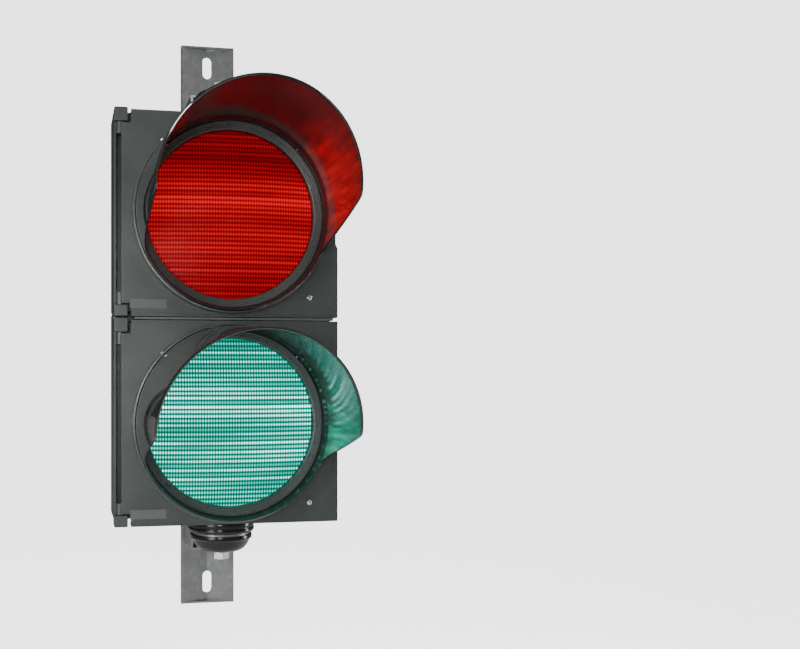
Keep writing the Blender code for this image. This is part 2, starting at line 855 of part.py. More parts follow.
def hinge_pin(name, centre, end):
    """Steel pin through a lug of the shell and a knuckle of the door."""
    if end == "top":
        outer = centre + PITCH / 2 - 0.0022
        inner = centre + PITCH / 2 - LUG_TOP_HEIGHT - KNUCKLE_LENGTH + 0.001
    else:
        outer = centre - DOOR_HALF_HEIGHT + 0.002
        inner = centre - DOOR_HALF_HEIGHT + LUG_BOTTOM_HEIGHT + KNUCKLE_LENGTH - 0.001
    low = (HINGE_X, HINGE_Y, min(outer, inner))
    high = (HINGE_X, HINGE_Y, max(outer, inner))
    return cylinder(f"hinge_pin_{name}_{end}", PIN_RADIUS, low, high, ZINC, steps=12)


def stadium(width, length, middle, count=8):
    """Outline of an upright slot with round ends."""
    radius = width / 2
    straight = length / 2 - radius
    top = arc((middle[0], middle[1] + straight), radius, 0.0, 180.0, count)
    bottom = arc((middle[0], middle[1] - straight), radius, 180.0, 360.0, count)
    return top + bottom


def stack(name):
    """World heights of a bracket's layers, outwards from the head: a list by layer name."""
    way = top_or_bottom(name)
    low, high = body_span(name)
    head = high if name == "upper" else low
    collar = head + way * GAP
    tongue = way * TONGUE_Z
    cap = tongue + way * (ARM_WALL + GAP)
    washer = cap + way * (CAP_HEIGHT + GAP)
    hexagon = washer + way * (WASHER_THICKNESS + GAP)
    return {
        "way": way,
        "head": head,
        "collar": collar,
        "tongue": tongue,
        "cap": cap,
        "washer": washer,
        "hexagon": hexagon,
    }


def upright(way):
    """Frame for a turned piece whose height runs up, or down for the lower bracket."""
    return Matrix.Identity(4) if way > 0 else Matrix.Rotation(math.pi, 4, "X")


def swivel_collar(name, at):
    """Black spacer between the head and the arm. The lower one has a neck that clears the door."""
    height = abs(at["tongue"] - at["collar"]) - GAP
    step = height - COLLAR_HEIGHT
    profile = [
        (COLLAR_RADIUS - 0.002, height),
        (COLLAR_RADIUS, height - 0.003),
        (COLLAR_RADIUS, step),
    ]
    if step > 0.001:
        profile += [(COLLAR_NECK, step), (COLLAR_NECK, 0.0), (BOLT_BORE, 0.0)]
    else:
        profile += [(BOLT_BORE, step)]
    profile += [(BOLT_BORE, height)]
    origin = (0.0, SWIVEL_Y, at["collar"])
    return turned("swivel_collar_" + name, profile, origin, CAP_BLACK, upright(at["way"]), 40)


def swivel_cap(name, at):
    """Black domed cap clamped on the arm's tongue by the swivel bolt."""
    profile = [
        (0.017, CAP_HEIGHT),
        (0.027, CAP_HEIGHT - 0.0015),
        (0.0355, CAP_HEIGHT - 0.010),
        (CAP_RADIUS, CAP_HEIGHT - 0.019),
        (CAP_RADIUS, 0.0),
        (BOLT_BORE, 0.0),
        (BOLT_BORE, CAP_HEIGHT),
    ]
    origin = (0.0, SWIVEL_Y, at["cap"])
    return turned("swivel_cap_" + name, profile, origin, CAP_BLACK, upright(at["way"]), 40)


def swivel_washer(name, at):
    profile = [
        (WASHER_RADIUS, WASHER_THICKNESS),
        (WASHER_RADIUS, 0.0),
        (BOLT_BORE, 0.0),
        (BOLT_BORE, WASHER_THICKNESS),
    ]
    origin = (0.0, SWIVEL_Y, at["washer"])
    return turned("swivel_washer_" + name, profile, origin, ZINC, upright(at["way"]), 24)


def swivel_bolt(name, at):
    """Hexagon bolt through cap, tongue, collar and shell."""
    way = at["way"]
    top = at["hexagon"] + way * HEX_HEIGHT
    tip = at["head"] - way * 0.016
    bolt = cylinder(
        "swivel_bolt_" + name,
        HEX_RADIUS,
        (0.0, SWIVEL_Y, at["hexagon"]),
        (0.0, SWIVEL_Y, top),
        ZINC,
        steps=6,
    )
    shank_start = (0.0, SWIVEL_Y, at["hexagon"] + way * 0.002)
    join(bolt, cylinder(f"swivel_bolt_shank_{name}", BOLT_RADIUS, shank_start, (0.0, SWIVEL_Y, tip)))
    return bolt


def swivel_nut(name, at):
    """Nut on the swivel bolt, inside the shell."""
    way = at["way"]
    start = at["head"] - way * (WALL + GAP)
    end = start - way * 0.009
    nut = cylinder(
        "swivel_nut_" + name, HEX_RADIUS, (0.0, SWIVEL_Y, start), (0.0, SWIVEL_Y, end), ZINC, steps=6
    )
    bore_start = (0.0, SWIVEL_Y, start + way * 0.001)
    bore_end = (0.0, SWIVEL_Y, end - way * 0.001)
    cut(nut, cylinder(f"swivel_nut_bore_{name}", BOLT_RADIUS + GAP, bore_start, bore_end))
    return nut


def arm(name, at):
    """Rectangular tube from the plate, mitred at its front, with a round tongue under the cap."""
    way = at["way"]
    inner_z = at["tongue"]
    outer_z = inner_z + way * ARM_HEIGHT
    tube = box(
        "arm_" + name,
        (-ARM_HALF_WIDTH, ARM_SIDE_END_Y, min(inner_z, outer_z)),
        (ARM_HALF_WIDTH, -PLATE_DEPTH - GAP, max(inner_z, outer_z)),
        STEEL,
        bevel=0.0015,
    )
    hollow_start = inner_z + way * ARM_WALL
    hollow_end = outer_z - way * ARM_WALL
    cut(
        tube,
        box(
            f"arm_{name}_hollow",
            (-ARM_HALF_WIDTH + ARM_WALL, ARM_SIDE_END_Y - 0.001, min(hollow_start, hollow_end)),
            (ARM_HALF_WIDTH - ARM_WALL, 0.0, max(hollow_start, hollow_end)),
        ),
    )
    mitre = [
        (ARM_TOP_END_Y + 0.0026, outer_z + way * 0.003),
        (ARM_SIDE_END_Y, hollow_start),
        (ARM_SIDE_END_Y - 0.01, hollow_start),
        (ARM_SIDE_END_Y - 0.01, outer_z + way * 0.003),
    ]
    cut(tube, slab(f"arm_{name}_mitre", mitre, 0.1, (0.0, 0.0, 0.0), IN_SIDE_VIEW))
    join(
        tube,
        box(
            f"arm_{name}_tongue",
            (-ARM_HALF_WIDTH + 0.0002, SWIVEL_Y, min(inner_z, hollow_start) + 0.00001),
            (ARM_HALF_WIDTH - 0.0002, ARM_SIDE_END_Y + 0.004, max(inner_z, hollow_start) - 0.00001),
        ),
        cylinder(
            f"arm_{name}_tongue_end",
            TONGUE_RADIUS,
            (0.0, SWIVEL_Y, inner_z + way * 0.00002),
            (0.0, SWIVEL_Y, hollow_start - way * 0.00002),
            steps=40,
        ),
    )
    cut(
        tube,
        cylinder(
            f"arm_{name}_bolt_hole",
            BOLT_BORE,
            (0.0, SWIVEL_Y, inner_z - way * 0.01),
            (0.0, SWIVEL_Y, hollow_start + way * 0.01),
        ),
    )
    return tube


def pole_plate(name, at):
    """Plate with a shallow valley in front, a flat back, end lips and one fixing slot."""
    way = at["way"]
    inner_end = at["tongue"] - way * PLATE_INNER_OVERHANG
    outer_end = way * PLATE_END_Z
    plan = [
        (-PLATE_HALF_WIDTH, 0.0),
        (-PLATE_HALF_WIDTH, -PLATE_DEPTH),
        (-PLATE_HALF_WIDTH + 0.0015, -PLATE_DEPTH),
        (0.0, -PLATE_CREASE),
        (PLATE_HALF_WIDTH - 0.0015, -PLATE_DEPTH),
        (PLATE_HALF_WIDTH, -PLATE_DEPTH),
        (PLATE_HALF_WIDTH, 0.0),
    ]
    middle = (0.0, 0.0, (inner_end + outer_end) / 2)
    length = abs(outer_end - inner_end)
    plate = slab("pole_plate_" + name, plan, length, middle, IN_PLAN, STEEL)
    for end, start, direction in (("inner", inner_end, way), ("outer", outer_end, -way)):
        stop = start + direction * PLATE_LIP
        join(
            plate,
            box(
                f"plate_{name}_lip_{end}",
                (-PLATE_HALF_WIDTH + 0.0002, -PLATE_DEPTH + 0.0001, min(start, stop) + 0.0002),
                (PLATE_HALF_WIDTH - 0.0002, -0.0002, max(start, stop) - 0.0002),
            ),
        )
    landing_low = at["tongue"]
    landing_high = landing_low + way * ARM_HEIGHT
    join(
        plate,
        box(
            f"plate_{name}_landing",
            (-ARM_HALF_WIDTH, -PLATE_DEPTH + 0.0001, min(landing_low, landing_high)),
            (ARM_HALF_WIDTH, -0.0002, max(landing_low, landing_high)),
        ),
    )
    slot_z = outer_end - way * (SLOT_FROM_END + SLOT_LENGTH / 2)
    slot = stadium(SLOT_WIDTH, SLOT_LENGTH, (0.0, slot_z))
    cut(plate, slab(f"plate_{name}_slot", slot, 0.05, (0.0, 0.0, 0.0), FACING_FRONT))
    return plate


def section_coupler():
    """Hollow threaded nipple that joins the two shells, with a ring nut at each end."""
    reach = WALL + GAP + COUPLER_NUT_HEIGHT
    origin = (0.0, SWIVEL_Y, SEAM_Z)
    tube_profile = [
        (COUPLER_RADIUS, reach),
        (COUPLER_RADIUS, -reach),
        (COUPLER_BORE, -reach),
        (COUPLER_BORE, reach),
    ]
    pieces = [
        turned("section_coupler", tube_profile, origin, ZINC, upright(1.0), 32),
    ]
    for name, way in (("upper", 1.0), ("lower", -1.0)):
        start = WALL + GAP * 1.5
        nut_profile = [
            (COUPLER_NUT_RADIUS, start + COUPLER_NUT_HEIGHT - 0.001),
            (COUPLER_NUT_RADIUS, start),
            (COUPLER_RADIUS + GAP, start),
            (COUPLER_RADIUS + GAP, start + COUPLER_NUT_HEIGHT - 0.001),
        ]
        pieces.append(
            turned("coupler_nut_" + name, nut_profile, origin, ZINC, upright(way), 32)
        )
    return pieces


def terminal_block(centre):
    """Row of screw terminals on the lower shell's rear wall."""
    width, depth, height = TERMINAL_SIZE
    back = REAR_Y - WALL - GAP
    block = box(
        "terminal_block",
        (-width / 2, back - depth, centre - height / 2),
        (width / 2, back, centre + height / 2),
        TERMINAL_WHITE,
    )
    for i in range(6):
        x = -width / 2 + width * (i + 0.5) / 6
        front = (x, back - depth - 0.001, centre)
        cut(block, cylinder(f"terminal_well_{i}", 0.0035, front, (x, back - depth + 0.006, centre), steps=10))
    return block


def cable_grommet(shell):
    """Blind rubber grommet in the lower shell's rear wall, where the supply cable enters."""
    cut(
        shell,
        cylinder(
            "grommet_hole",
            GROMMET_BORE,
            (0.0, REAR_Y - 0.01, GROMMET_Z),
            (0.0, REAR_Y + 0.01, GROMMET_Z),
            steps=24,
        ),
    )
    half = WALL / 2 + GAP
    profile = [
        (0.0, half + 0.0025),
        (0.008, half + 0.0025),
        (0.0125, half),
        (GROMMET_BORE - GAP, half),
        (GROMMET_BORE - GAP, -half),
        (0.0125, -half),
        (0.0115, -half - 0.002),
        (0.0, -half - 0.002),
    ]
    facing_back = Matrix.Rotation(-math.pi / 2, 4, "X")
    origin = (0.0, REAR_Y - WALL / 2, GROMMET_Z)
    return turned("cable_grommet", profile, origin, RUBBER, facing_back, 24)


VISOR_SCREW_ANGLES = (45, 135)
CLIP_ANGLES = (45, 135, 225, 315)

swivel_axis = axis_empty("swivel_axis", (0.0, SWIVEL_Y, 0.0))
carried_by_swivel = []
for section, middle_z in SECTIONS:
    layers = stack(section)
    pole_plate(section, layers)
    arm(section, layers)
    swivel_cap(section, layers)
    swivel_washer(section, layers)
    swivel_bolt(section, layers)
    swivel_nut(section, layers)
    carried_by_swivel.append(swivel_collar(section, layers))

    shell_piece = rear_shell(section, middle_z)
    carried_by_swivel.append(shell_piece)
    if section == "lower":
        seam_slot(shell_piece)
        carried_by_swivel.append(cable_grommet(shell_piece))
        carried_by_swivel.append(terminal_block(middle_z))
    for pin_end in ("top", "bottom"):
        carried_by_swivel.append(hinge_pin(section, middle_z, pin_end))

    hinge = axis_empty(f"door_{section}_hinge", (HINGE_X, HINGE_Y, middle_z), swivel_axis)
    panel = door_panel(section, middle_z)
    hood = visor(section, middle_z)
    lens_paint = RED_LENS if section == "upper" else GREEN_LENS
    on_door = [
        panel,
        hood,
        door_gasket(section, middle_z),
        lens(section, middle_z, lens_paint),
        lens_seal(section, middle_z),
        module_back(section, middle_z),
        disc("inner_lens_" + section, 0.098, 0.0135, 0.0155, middle_z, CLEAR),
        disc("light_board_" + section, 0.096, 0.0310, 0.0326, middle_z, BOARD),
        driver_board(section, middle_z),
    ]
    for screw_angle in VISOR_SCREW_ANGLES:
        hole = visor_screw_hole(section, middle_z, screw_angle)
        cut(panel, hole)
        cut(hood, hole)
        on_door.append(visor_screw(section, middle_z, screw_angle))
    for clip_angle in CLIP_ANGLES:
        on_door.append(lens_clip(section, middle_z, clip_angle))
    for screw_end, screw_side in (("top", 1), ("bottom", -1)):
        on_door.append(door_screw(section, middle_z, screw_end, screw_side))
    carry(hinge, *on_door)

carried_by_swivel += section_coupler()
carry(swivel_axis, *carried_by_swivel)
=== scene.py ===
import json
import math

import bmesh
import bpy
from mathutils import Matrix, Vector

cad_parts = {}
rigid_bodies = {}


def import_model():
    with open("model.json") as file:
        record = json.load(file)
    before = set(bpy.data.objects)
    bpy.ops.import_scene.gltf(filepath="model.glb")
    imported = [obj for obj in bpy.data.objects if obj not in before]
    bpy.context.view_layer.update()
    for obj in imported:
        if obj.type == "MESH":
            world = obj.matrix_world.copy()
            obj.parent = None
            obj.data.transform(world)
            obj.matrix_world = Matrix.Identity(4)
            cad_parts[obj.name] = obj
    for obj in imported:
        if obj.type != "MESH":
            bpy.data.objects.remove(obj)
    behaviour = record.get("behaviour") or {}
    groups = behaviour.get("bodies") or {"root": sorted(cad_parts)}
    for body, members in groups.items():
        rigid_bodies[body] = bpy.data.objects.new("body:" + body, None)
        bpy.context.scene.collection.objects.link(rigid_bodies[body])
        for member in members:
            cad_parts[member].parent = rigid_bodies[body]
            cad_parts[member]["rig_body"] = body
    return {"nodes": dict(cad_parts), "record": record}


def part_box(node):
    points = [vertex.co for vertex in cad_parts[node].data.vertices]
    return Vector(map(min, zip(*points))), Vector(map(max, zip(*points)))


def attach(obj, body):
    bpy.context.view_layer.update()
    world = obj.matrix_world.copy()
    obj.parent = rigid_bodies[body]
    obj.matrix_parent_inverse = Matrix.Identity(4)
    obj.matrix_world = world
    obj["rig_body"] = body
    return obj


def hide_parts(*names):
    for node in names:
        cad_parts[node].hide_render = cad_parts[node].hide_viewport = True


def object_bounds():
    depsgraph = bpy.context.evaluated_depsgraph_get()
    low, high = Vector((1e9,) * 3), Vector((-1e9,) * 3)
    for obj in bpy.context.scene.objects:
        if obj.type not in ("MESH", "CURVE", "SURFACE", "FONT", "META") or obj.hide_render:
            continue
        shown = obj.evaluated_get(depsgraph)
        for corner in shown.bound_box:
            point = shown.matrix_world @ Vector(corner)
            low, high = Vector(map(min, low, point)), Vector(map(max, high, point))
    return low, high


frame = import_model()
CAD_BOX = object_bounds()

# Looks of the two-section traffic signal head. Metres, +Z up, the lenses face -Y.
# "Forward" is the distance in front of the door faces, and radii are measured from a lens axis.

RING_DEPTH = 0.0185
FACE_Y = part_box("door_upper_panel")[0].y + RING_DEPTH
RING_RADIUS = 0.1205
LENS_OPENING = 0.1035
LENS_RADIUS = 0.1028
SWIVEL_Y = (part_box("swivel_cap_upper")[0].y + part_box("swivel_cap_upper")[1].y) / 2
SWIVEL_BORE = 0.0064

# Visor. The corner, middle and end of its cut edge are (forward, height above the lens axis).
VISOR_WALL = 0.0024
VISOR_ROOT_RADIUS = 0.1184
VISOR_FRONT_RADIUS = 0.1084
VISOR_TOP_LENGTH = 0.2135
VISOR_CORNER = (0.178, -0.005)
VISOR_EDGE_MIDDLE = (0.060, -0.036)
VISOR_RING_END = (0.026, -0.050)
VISOR_SEAT = RING_DEPTH + 0.0008
BEAD_RISE = 0.0006
BEAD_TOP = VISOR_SEAT + 0.0022
BEAD_END = VISOR_SEAT + 0.0030
WALL_START = VISOR_SEAT + 0.0034
INNER_WALL_START = WALL_START + 0.001
RIM_LENGTH = 0.0009
RIM_SHARES = (0.28, 0.72)
SLEEVE_OUTER = 0.1161
SLEEVE_INNER = 0.1137
SLEEVE_START = 0.0087
VISOR_STEPS = 288
VISOR_ROWS = 26

# Rib in the gap between the doors
RIB_HEIGHT = 0.0026
RIB_DEPTH = 0.0255
RIB_SPAN = (-0.1145, 0.1330)

# Lens: a dome of pillows in front, a flange behind it, and a hollow back of (radius, forward) rings
ROW_PITCH = 0.0055
RIB_PITCH = 0.0034
LENS_CROWN = 0.0098
LENS_SAG = LENS_CROWN + 0.002
DOME_RADIUS = (LENS_RADIUS**2 + LENS_SAG**2) / (2 * LENS_SAG)
DOME_EDGE = LENS_RADIUS - 0.0002
PILLOW = 0.00045
PILLOW_FADE = 0.002
FLANGE_FRONT = -0.0056
FLANGE_BACK = FLANGE_FRONT - 0.0024
HOLLOW_RINGS = ((LENS_RADIUS - 0.0030, FLANGE_BACK), (0.075, 0.0006), (0.040, 0.0052))
HOLLOW_TOP = 0.0070
LENS_RINGS = 150
LENS_STEPS = 360

# Smaller parts. The label pad's place is (right of the lens axis, above the door's foot).
TAB_SIZE = (0.0022, 0.0100, 0.0062)
TAB_DEGREES = {"left": 178.0, "right": -4.0}
TAB_FORWARD = 0.0125
LABEL_SIZE = (0.044, 0.0012, 0.0115)
LABEL_PLACE = (-0.101, 0.0150)
COLLAR_FLANGE_HEIGHT = 0.0133
COLLAR_NECK_RADIUS = 0.027
BACK_RIBS = 16
BACK_RIB_SIZE = (0.0022, 0.0024, 0.030)
BACK_RIB_RADIUS = 0.0755

# Softening of the CAD shapes
WELD_DISTANCE = 0.000005
FLAT_ANGLE = math.radians(1.5)
BEVEL_ANGLE = math.radians(40)
EDGE_WIDTH = {"hinge_pin": 0.0003, "visor_screw": 0.0002, "door_screw": 0.0002, "lens_seal": 0.0003}
USUAL_EDGE_WIDTH = 0.0006

# Surfaces that meet at less than these angles are shaded as one.
SMOOTH_ANGLE = math.radians(32)
PLATE_SMOOTH_ANGLE = math.radians(12)
VISOR_SMOOTH_ANGLE = math.radians(40)
LENS_SMOOTH_ANGLE = math.radians(70)

# Turned profiles: a radius under ON_AXIS is a point on the axis, and only sharper turns are rounded.
ON_AXIS = 1e-6
SHARP_TURN = math.radians(20)


def centre_of(node):
    """Middle of a CAD node's box."""
    low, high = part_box(node)
    return (low + high) / 2


def body_of(node):
    """Name of the body that a CAD node rides on."""
    return frame["nodes"][node]["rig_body"]


SLOT_OF = {part["node"]: part["material_slot"] for part in frame["record"]["subparts"]}


# ---------------------------------------------------------------- materials

NOISE_ROUGHNESS = 0.55


class Nodes:
    """Short calls for building one material's node tree."""

    def __init__(self, name):
        self.material = bpy.data.materials.new(name)
        self.material.use_nodes = True
        self.tree = self.material.node_tree
        self.shader = self.tree.nodes["Principled BSDF"]
        self.place = self.add("ShaderNodeTexCoord").outputs["Object"]

    def add(self, kind, **settings):
        node = self.tree.nodes.new(kind)
        for key, value in settings.items():
            setattr(node, key, value)
        return node

    def link(self, output, target):
        self.tree.links.new(output, target)

    def fill(self, target, value):
        """A link when the value is another node's output, and a plain setting otherwise."""
        if isinstance(value, bpy.types.NodeSocket):
            self.link(value, target)
        else:
            target.default_value = value

    def axis(self, letter):
        """One of the piece's own coordinates."""
        split = self.add("ShaderNodeSeparateXYZ")
        self.link(self.place, split.inputs[0])
        return split.outputs[letter]

    def offsets(self, node):
        """Distances to the right of a CAD node's middle, above it, and from the axis through it."""
        middle = centre_of(node)
        x = self.math("SUBTRACT", self.axis("X"), middle.x)
        z = self.math("SUBTRACT", self.axis("Z"), middle.z)
        squares = self.math("ADD", self.math("MULTIPLY", x, x), self.math("MULTIPLY", z, z))
        return x, z, self.math("SQRT", squares)

    def stretched(self, scale):
        """The piece's own coordinates, scaled along each axis."""
        mapping = self.add("ShaderNodeMapping")
        self.link(self.place, mapping.inputs["Vector"])
        mapping.inputs["Scale"].default_value = scale
        return mapping.outputs["Vector"]

    def noise(self, scale, detail=3.0, vector=None):
        node = self.add("ShaderNodeTexNoise")
        self.link(vector or self.place, node.inputs["Vector"])
        node.inputs["Scale"].default_value = scale
        node.inputs["Detail"].default_value = detail
        node.inputs["Roughness"].default_value = NOISE_ROUGHNESS
        return node.outputs["Fac"]

    def voronoi(self, scale, output="Distance"):
        node = self.add("ShaderNodeTexVoronoi")
        self.link(self.place, node.inputs["Vector"])
        node.inputs["Scale"].default_value = scale
        return node.outputs[output]

    def math(self, operation, first, second=0.0):
        node = self.add("ShaderNodeMath", operation=operation)
        self.fill(node.inputs[0], first)
        self.fill(node.inputs[1], second)
        return node.outputs[0]

    def product(self, first, *others):
        for other in others:
            first = self.math("MULTIPLY", first, other)
        return first

    def ranged(self, value, low, high, to_low, to_high):
        """A value carried from one range to another, and held at the ends."""
        node = self.add("ShaderNodeMapRange")
        self.fill(node.inputs["Value"], value)
        limits = {"From Min": low, "From Max": high, "To Min": to_low, "To Max": to_high}
        for key, number in limits.items():
            node.inputs[key].default_value = number
        return node.outputs["Result"]

    def ramp(self, value, stops):
        node = self.add("ShaderNodeValToRGB")
        self.link(value, node.inputs["Fac"])
        elements = node.color_ramp.elements
        while len(elements) < len(stops):
            elements.new(0.5)
        for element, (position, colour) in zip(elements, stops):
            element.position = position
            element.color = (*colour, 1.0)
        return node.outputs["Color"]

    def grey_ramp(self, value, levels):
        """A ramp without colour, from (position, level) stops."""
        return self.ramp(value, [(position, (level, level, level)) for position, level in levels])

    def mixed(self, factor, first, second):
        node = self.add("ShaderNodeMix", data_type="RGBA")
        self.fill(node.inputs["Factor"], factor)
        self.fill(node.inputs["A"], first if not isinstance(first, tuple) else (*first, 1.0))
        self.fill(node.inputs["B"], second if not isinstance(second, tuple) else (*second, 1.0))
        return node.outputs["Result"]

    def bump(self, *heights):
        """Chained bumps from (height output, strength, distance in metres)."""
        normal = None
        for height, strength, distance in heights:
            node = self.add("ShaderNodeBump")
            node.inputs["Strength"].default_value = strength
            node.inputs["Distance"].default_value = distance
            self.link(height, node.inputs["Height"])
            if normal:
                self.link(normal, node.inputs["Normal"])
            normal = node.outputs["Normal"]
        self.link(normal, self.shader.inputs["Normal"])

    def paint(self, colour, roughness):
        self.link(colour, self.shader.inputs["Base Color"])
        self.link(roughness, self.shader.inputs["Roughness"])

    def shine(self, colour):
        self.link(colour, self.shader.inputs["Emission Color"])
        self.shader.inputs["Emission Strength"].default_value = 1.0


def moulded_plastic(name, dark, light, roughness=(0.42, 0.6), grain=1.0):
    """Spark-textured plastic with faint clouding, dust and fine scuffs."""
    n = Nodes(name)
    clouds = n.noise(14.0, 5.0)
    body = n.ramp(clouds, [(0.3, dark), (0.72, light)])
    dust = n.ranged(n.noise(900.0, 2.0), 0.60, 0.78, 0.0, 0.35)
    dusty = n.mixed(dust, body, tuple(min(1.0, c * 2.1 + 0.03) for c in light))
    scuffs = n.ranged(n.noise(60.0, 8.0, n.stretched((1.0, 1.0, 9.0))), 0.62, 0.74, 0.0, 0.3)
    scuffed = n.mixed(scuffs, dusty, tuple(c * 1.5 for c in light))
    n.paint(scuffed, n.ranged(n.noise(240.0, 4.0), 0.3, 0.7, *roughness))
    n.bump(
        (n.voronoi(1150.0), 0.32 * grain, 0.00016),
        (n.noise(2300.0, 2.0), 0.25 * grain, 0.0001),
        (n.noise(9.0, 2.0), 0.25, 0.0008),
    )
    return n.material


def painted_lens_glow(n, node, colours, heights, distances):
    """Painted glow: emission on the inside of a visor that stands in for the light of its lens falling
    there, added to the visor's material.

    colours are the stops from dark to bright. heights are (share of the way from the foot of the
    tube to its top, level), and distances are (share of the way forward, level).
    """
    z, radius = n.offsets(node)[1:]
    height = n.math("DIVIDE", z, radius)
    by_height = n.grey_ramp(n.ranged(height, -1.0, 1.0, 0.0, 1.0), heights)
    forward = n.math("SUBTRACT", FACE_Y, n.axis("Y"))
    share = n.ranged(forward, RING_DEPTH, VISOR_TOP_LENGTH, 0.0, 1.0)
    by_distance = n.grey_ramp(share, distances)
    fan = n.add("ShaderNodeCombineXYZ")
    n.link(n.math("MULTIPLY", height, 9.0), fan.inputs["X"])
    n.link(n.math("MULTIPLY", share, 1.6), fan.inputs["Y"])
    painted_rays = n.ranged(n.noise(1.0, 3.0, fan.outputs[0]), 0.32, 0.68, 0.55, 1.25)
    # The painted glow goes in as emission, on a part that is no lamp.
    n.shine(n.ramp(n.product(by_height, by_distance, painted_rays), colours))


def gloss_plastic(name, colour, roughness, coat, specular, painted_glow=None):
    """Polished moulded plastic: slight waviness, flow lines and wiped dust. The optional last argument
    adds a painted lens glow, as emission.
    """
    n = Nodes(name)
    # Painted lens glow, as emission on the visor's inside.
    if painted_glow:
        painted_lens_glow(n, *painted_glow)
    clouds = n.noise(20.0, 4.0)
    body = n.ramp(clouds, [(0.3, colour), (0.75, tuple(c * 1.7 for c in colour))])
    dust = n.ranged(n.noise(420.0, 6.0), 0.62, 0.82, 0.0, 0.22)
    wipes = n.noise(35.0, 7.0, n.stretched((1.0, 0.12, 1.0)))
    n.paint(n.mixed(dust, body, (0.16, 0.16, 0.155)), n.ranged(wipes, 0.35, 0.7, *roughness))
    n.shader.inputs["Specular IOR Level"].default_value = specular
    n.shader.inputs["Coat Weight"].default_value = coat
    n.shader.inputs["Coat Roughness"].default_value = 0.06
    n.bump(
        (n.noise(26.0, 2.0, n.stretched((1.0, 0.35, 1.0))), 0.2, 0.0009),
        (n.noise(75.0, 3.0, n.stretched((1.0, 0.09, 1.0))), 0.3, 0.0005),
        (n.noise(700.0, 3.0), 0.05, 0.00008),
    )
    return n.material


def rubber(name):
    """Matt black rubber with a fine pitted skin and pale bloom."""
    n = Nodes(name)
    bloom = n.ranged(n.noise(80.0, 6.0), 0.45, 0.75, 0.0, 0.5)
    skin = n.mixed(bloom, (0.012, 0.012, 0.012), (0.045, 0.045, 0.043))
    n.paint(skin, n.ranged(n.noise(300.0), 0.3, 0.7, 0.7, 0.92))
    n.bump((n.noise(1600.0, 3.0), 0.4, 0.00015))
    return n.material


def galvanised(name):
    """Zinc-coated steel: spangle, pale clouding, faint dimples and fine grain."""
    n = Nodes(name)
    grey = n.add("ShaderNodeSeparateColor")
    n.link(n.voronoi(150.0, output="Color"), grey.inputs["Color"])
    spangle = n.ranged(grey.outputs[0], 0.0, 1.0, 0.0, 0.45)
    shade = n.mixed(spangle, (0.20, 0.21, 0.205), (0.31, 0.322, 0.315))
    clouds = n.ranged(n.noise(45.0, 6.0), 0.42, 0.72, 0.0, 0.45)
    clouded = n.mixed(clouds, shade, (0.16, 0.167, 0.163))
    n.paint(clouded, n.ranged(n.noise(220.0, 4.0), 0.3, 0.7, 0.28, 0.42))
    n.shader.inputs["Metallic"].default_value = 0.75
    dimples = n.ranged(n.voronoi(75.0), 0.0, 0.22, 0.0, 1.0)
    n.bump((dimples, 0.18, 0.0003), (n.noise(900.0, 4.0), 0.22, 0.00012))
    return n.material


def zinc_plate(name):
    """Bright zinc on screws, bolts and nuts, with dull patches and fine grain."""
    n = Nodes(name)
    patches = n.ranged(n.noise(190.0, 5.0), 0.4, 0.7, 0.0, 0.7)
    patched = n.mixed(patches, (0.68, 0.69, 0.70), (0.42, 0.42, 0.40))
    n.paint(patched, n.ranged(n.noise(400.0, 4.0), 0.3, 0.7, 0.2, 0.42))
    n.shader.inputs["Metallic"].default_value = 1.0
    n.bump((n.noise(1500.0, 3.0), 0.2, 0.00008))
    return n.material


def circuit_board(name):
    """Green solder mask with a fine pattern of tracks."""
    n = Nodes(name)
    tracks = n.add("ShaderNodeTexBrick", offset=0.37)
    n.link(n.stretched((1.0, 1.0, 1.0)), tracks.inputs["Vector"])
    tracks.inputs["Scale"].default_value = 140.0
    tracks.inputs["Color1"].default_value = (0.012, 0.12, 0.05, 1.0)
    tracks.inputs["Color2"].default_value = (0.016, 0.16, 0.07, 1.0)
    tracks.inputs["Mortar"].default_value = (0.03, 0.26, 0.11, 1.0)
    n.paint(tracks.outputs["Color"], n.ranged(n.noise(120.0), 0.3, 0.7, 0.25, 0.42))
    n.bump((tracks.outputs["Fac"], 0.2, 0.0001))
    return n.material


def clear_moulding(name):
    """Frosted inner lens with a slight haze and a fine grain."""
    n = Nodes(name)
    haze = n.ranged(n.noise(70.0, 4.0), 0.4, 0.7, 0.0, 1.0)
    hazy = n.mixed(haze, (0.72, 0.75, 0.75), (0.84, 0.86, 0.86))
    n.paint(hazy, n.ranged(n.noise(200.0), 0.3, 0.7, 0.15, 0.3))
    n.bump((n.noise(900.0, 2.0), 0.15, 0.0001))
    return n.material


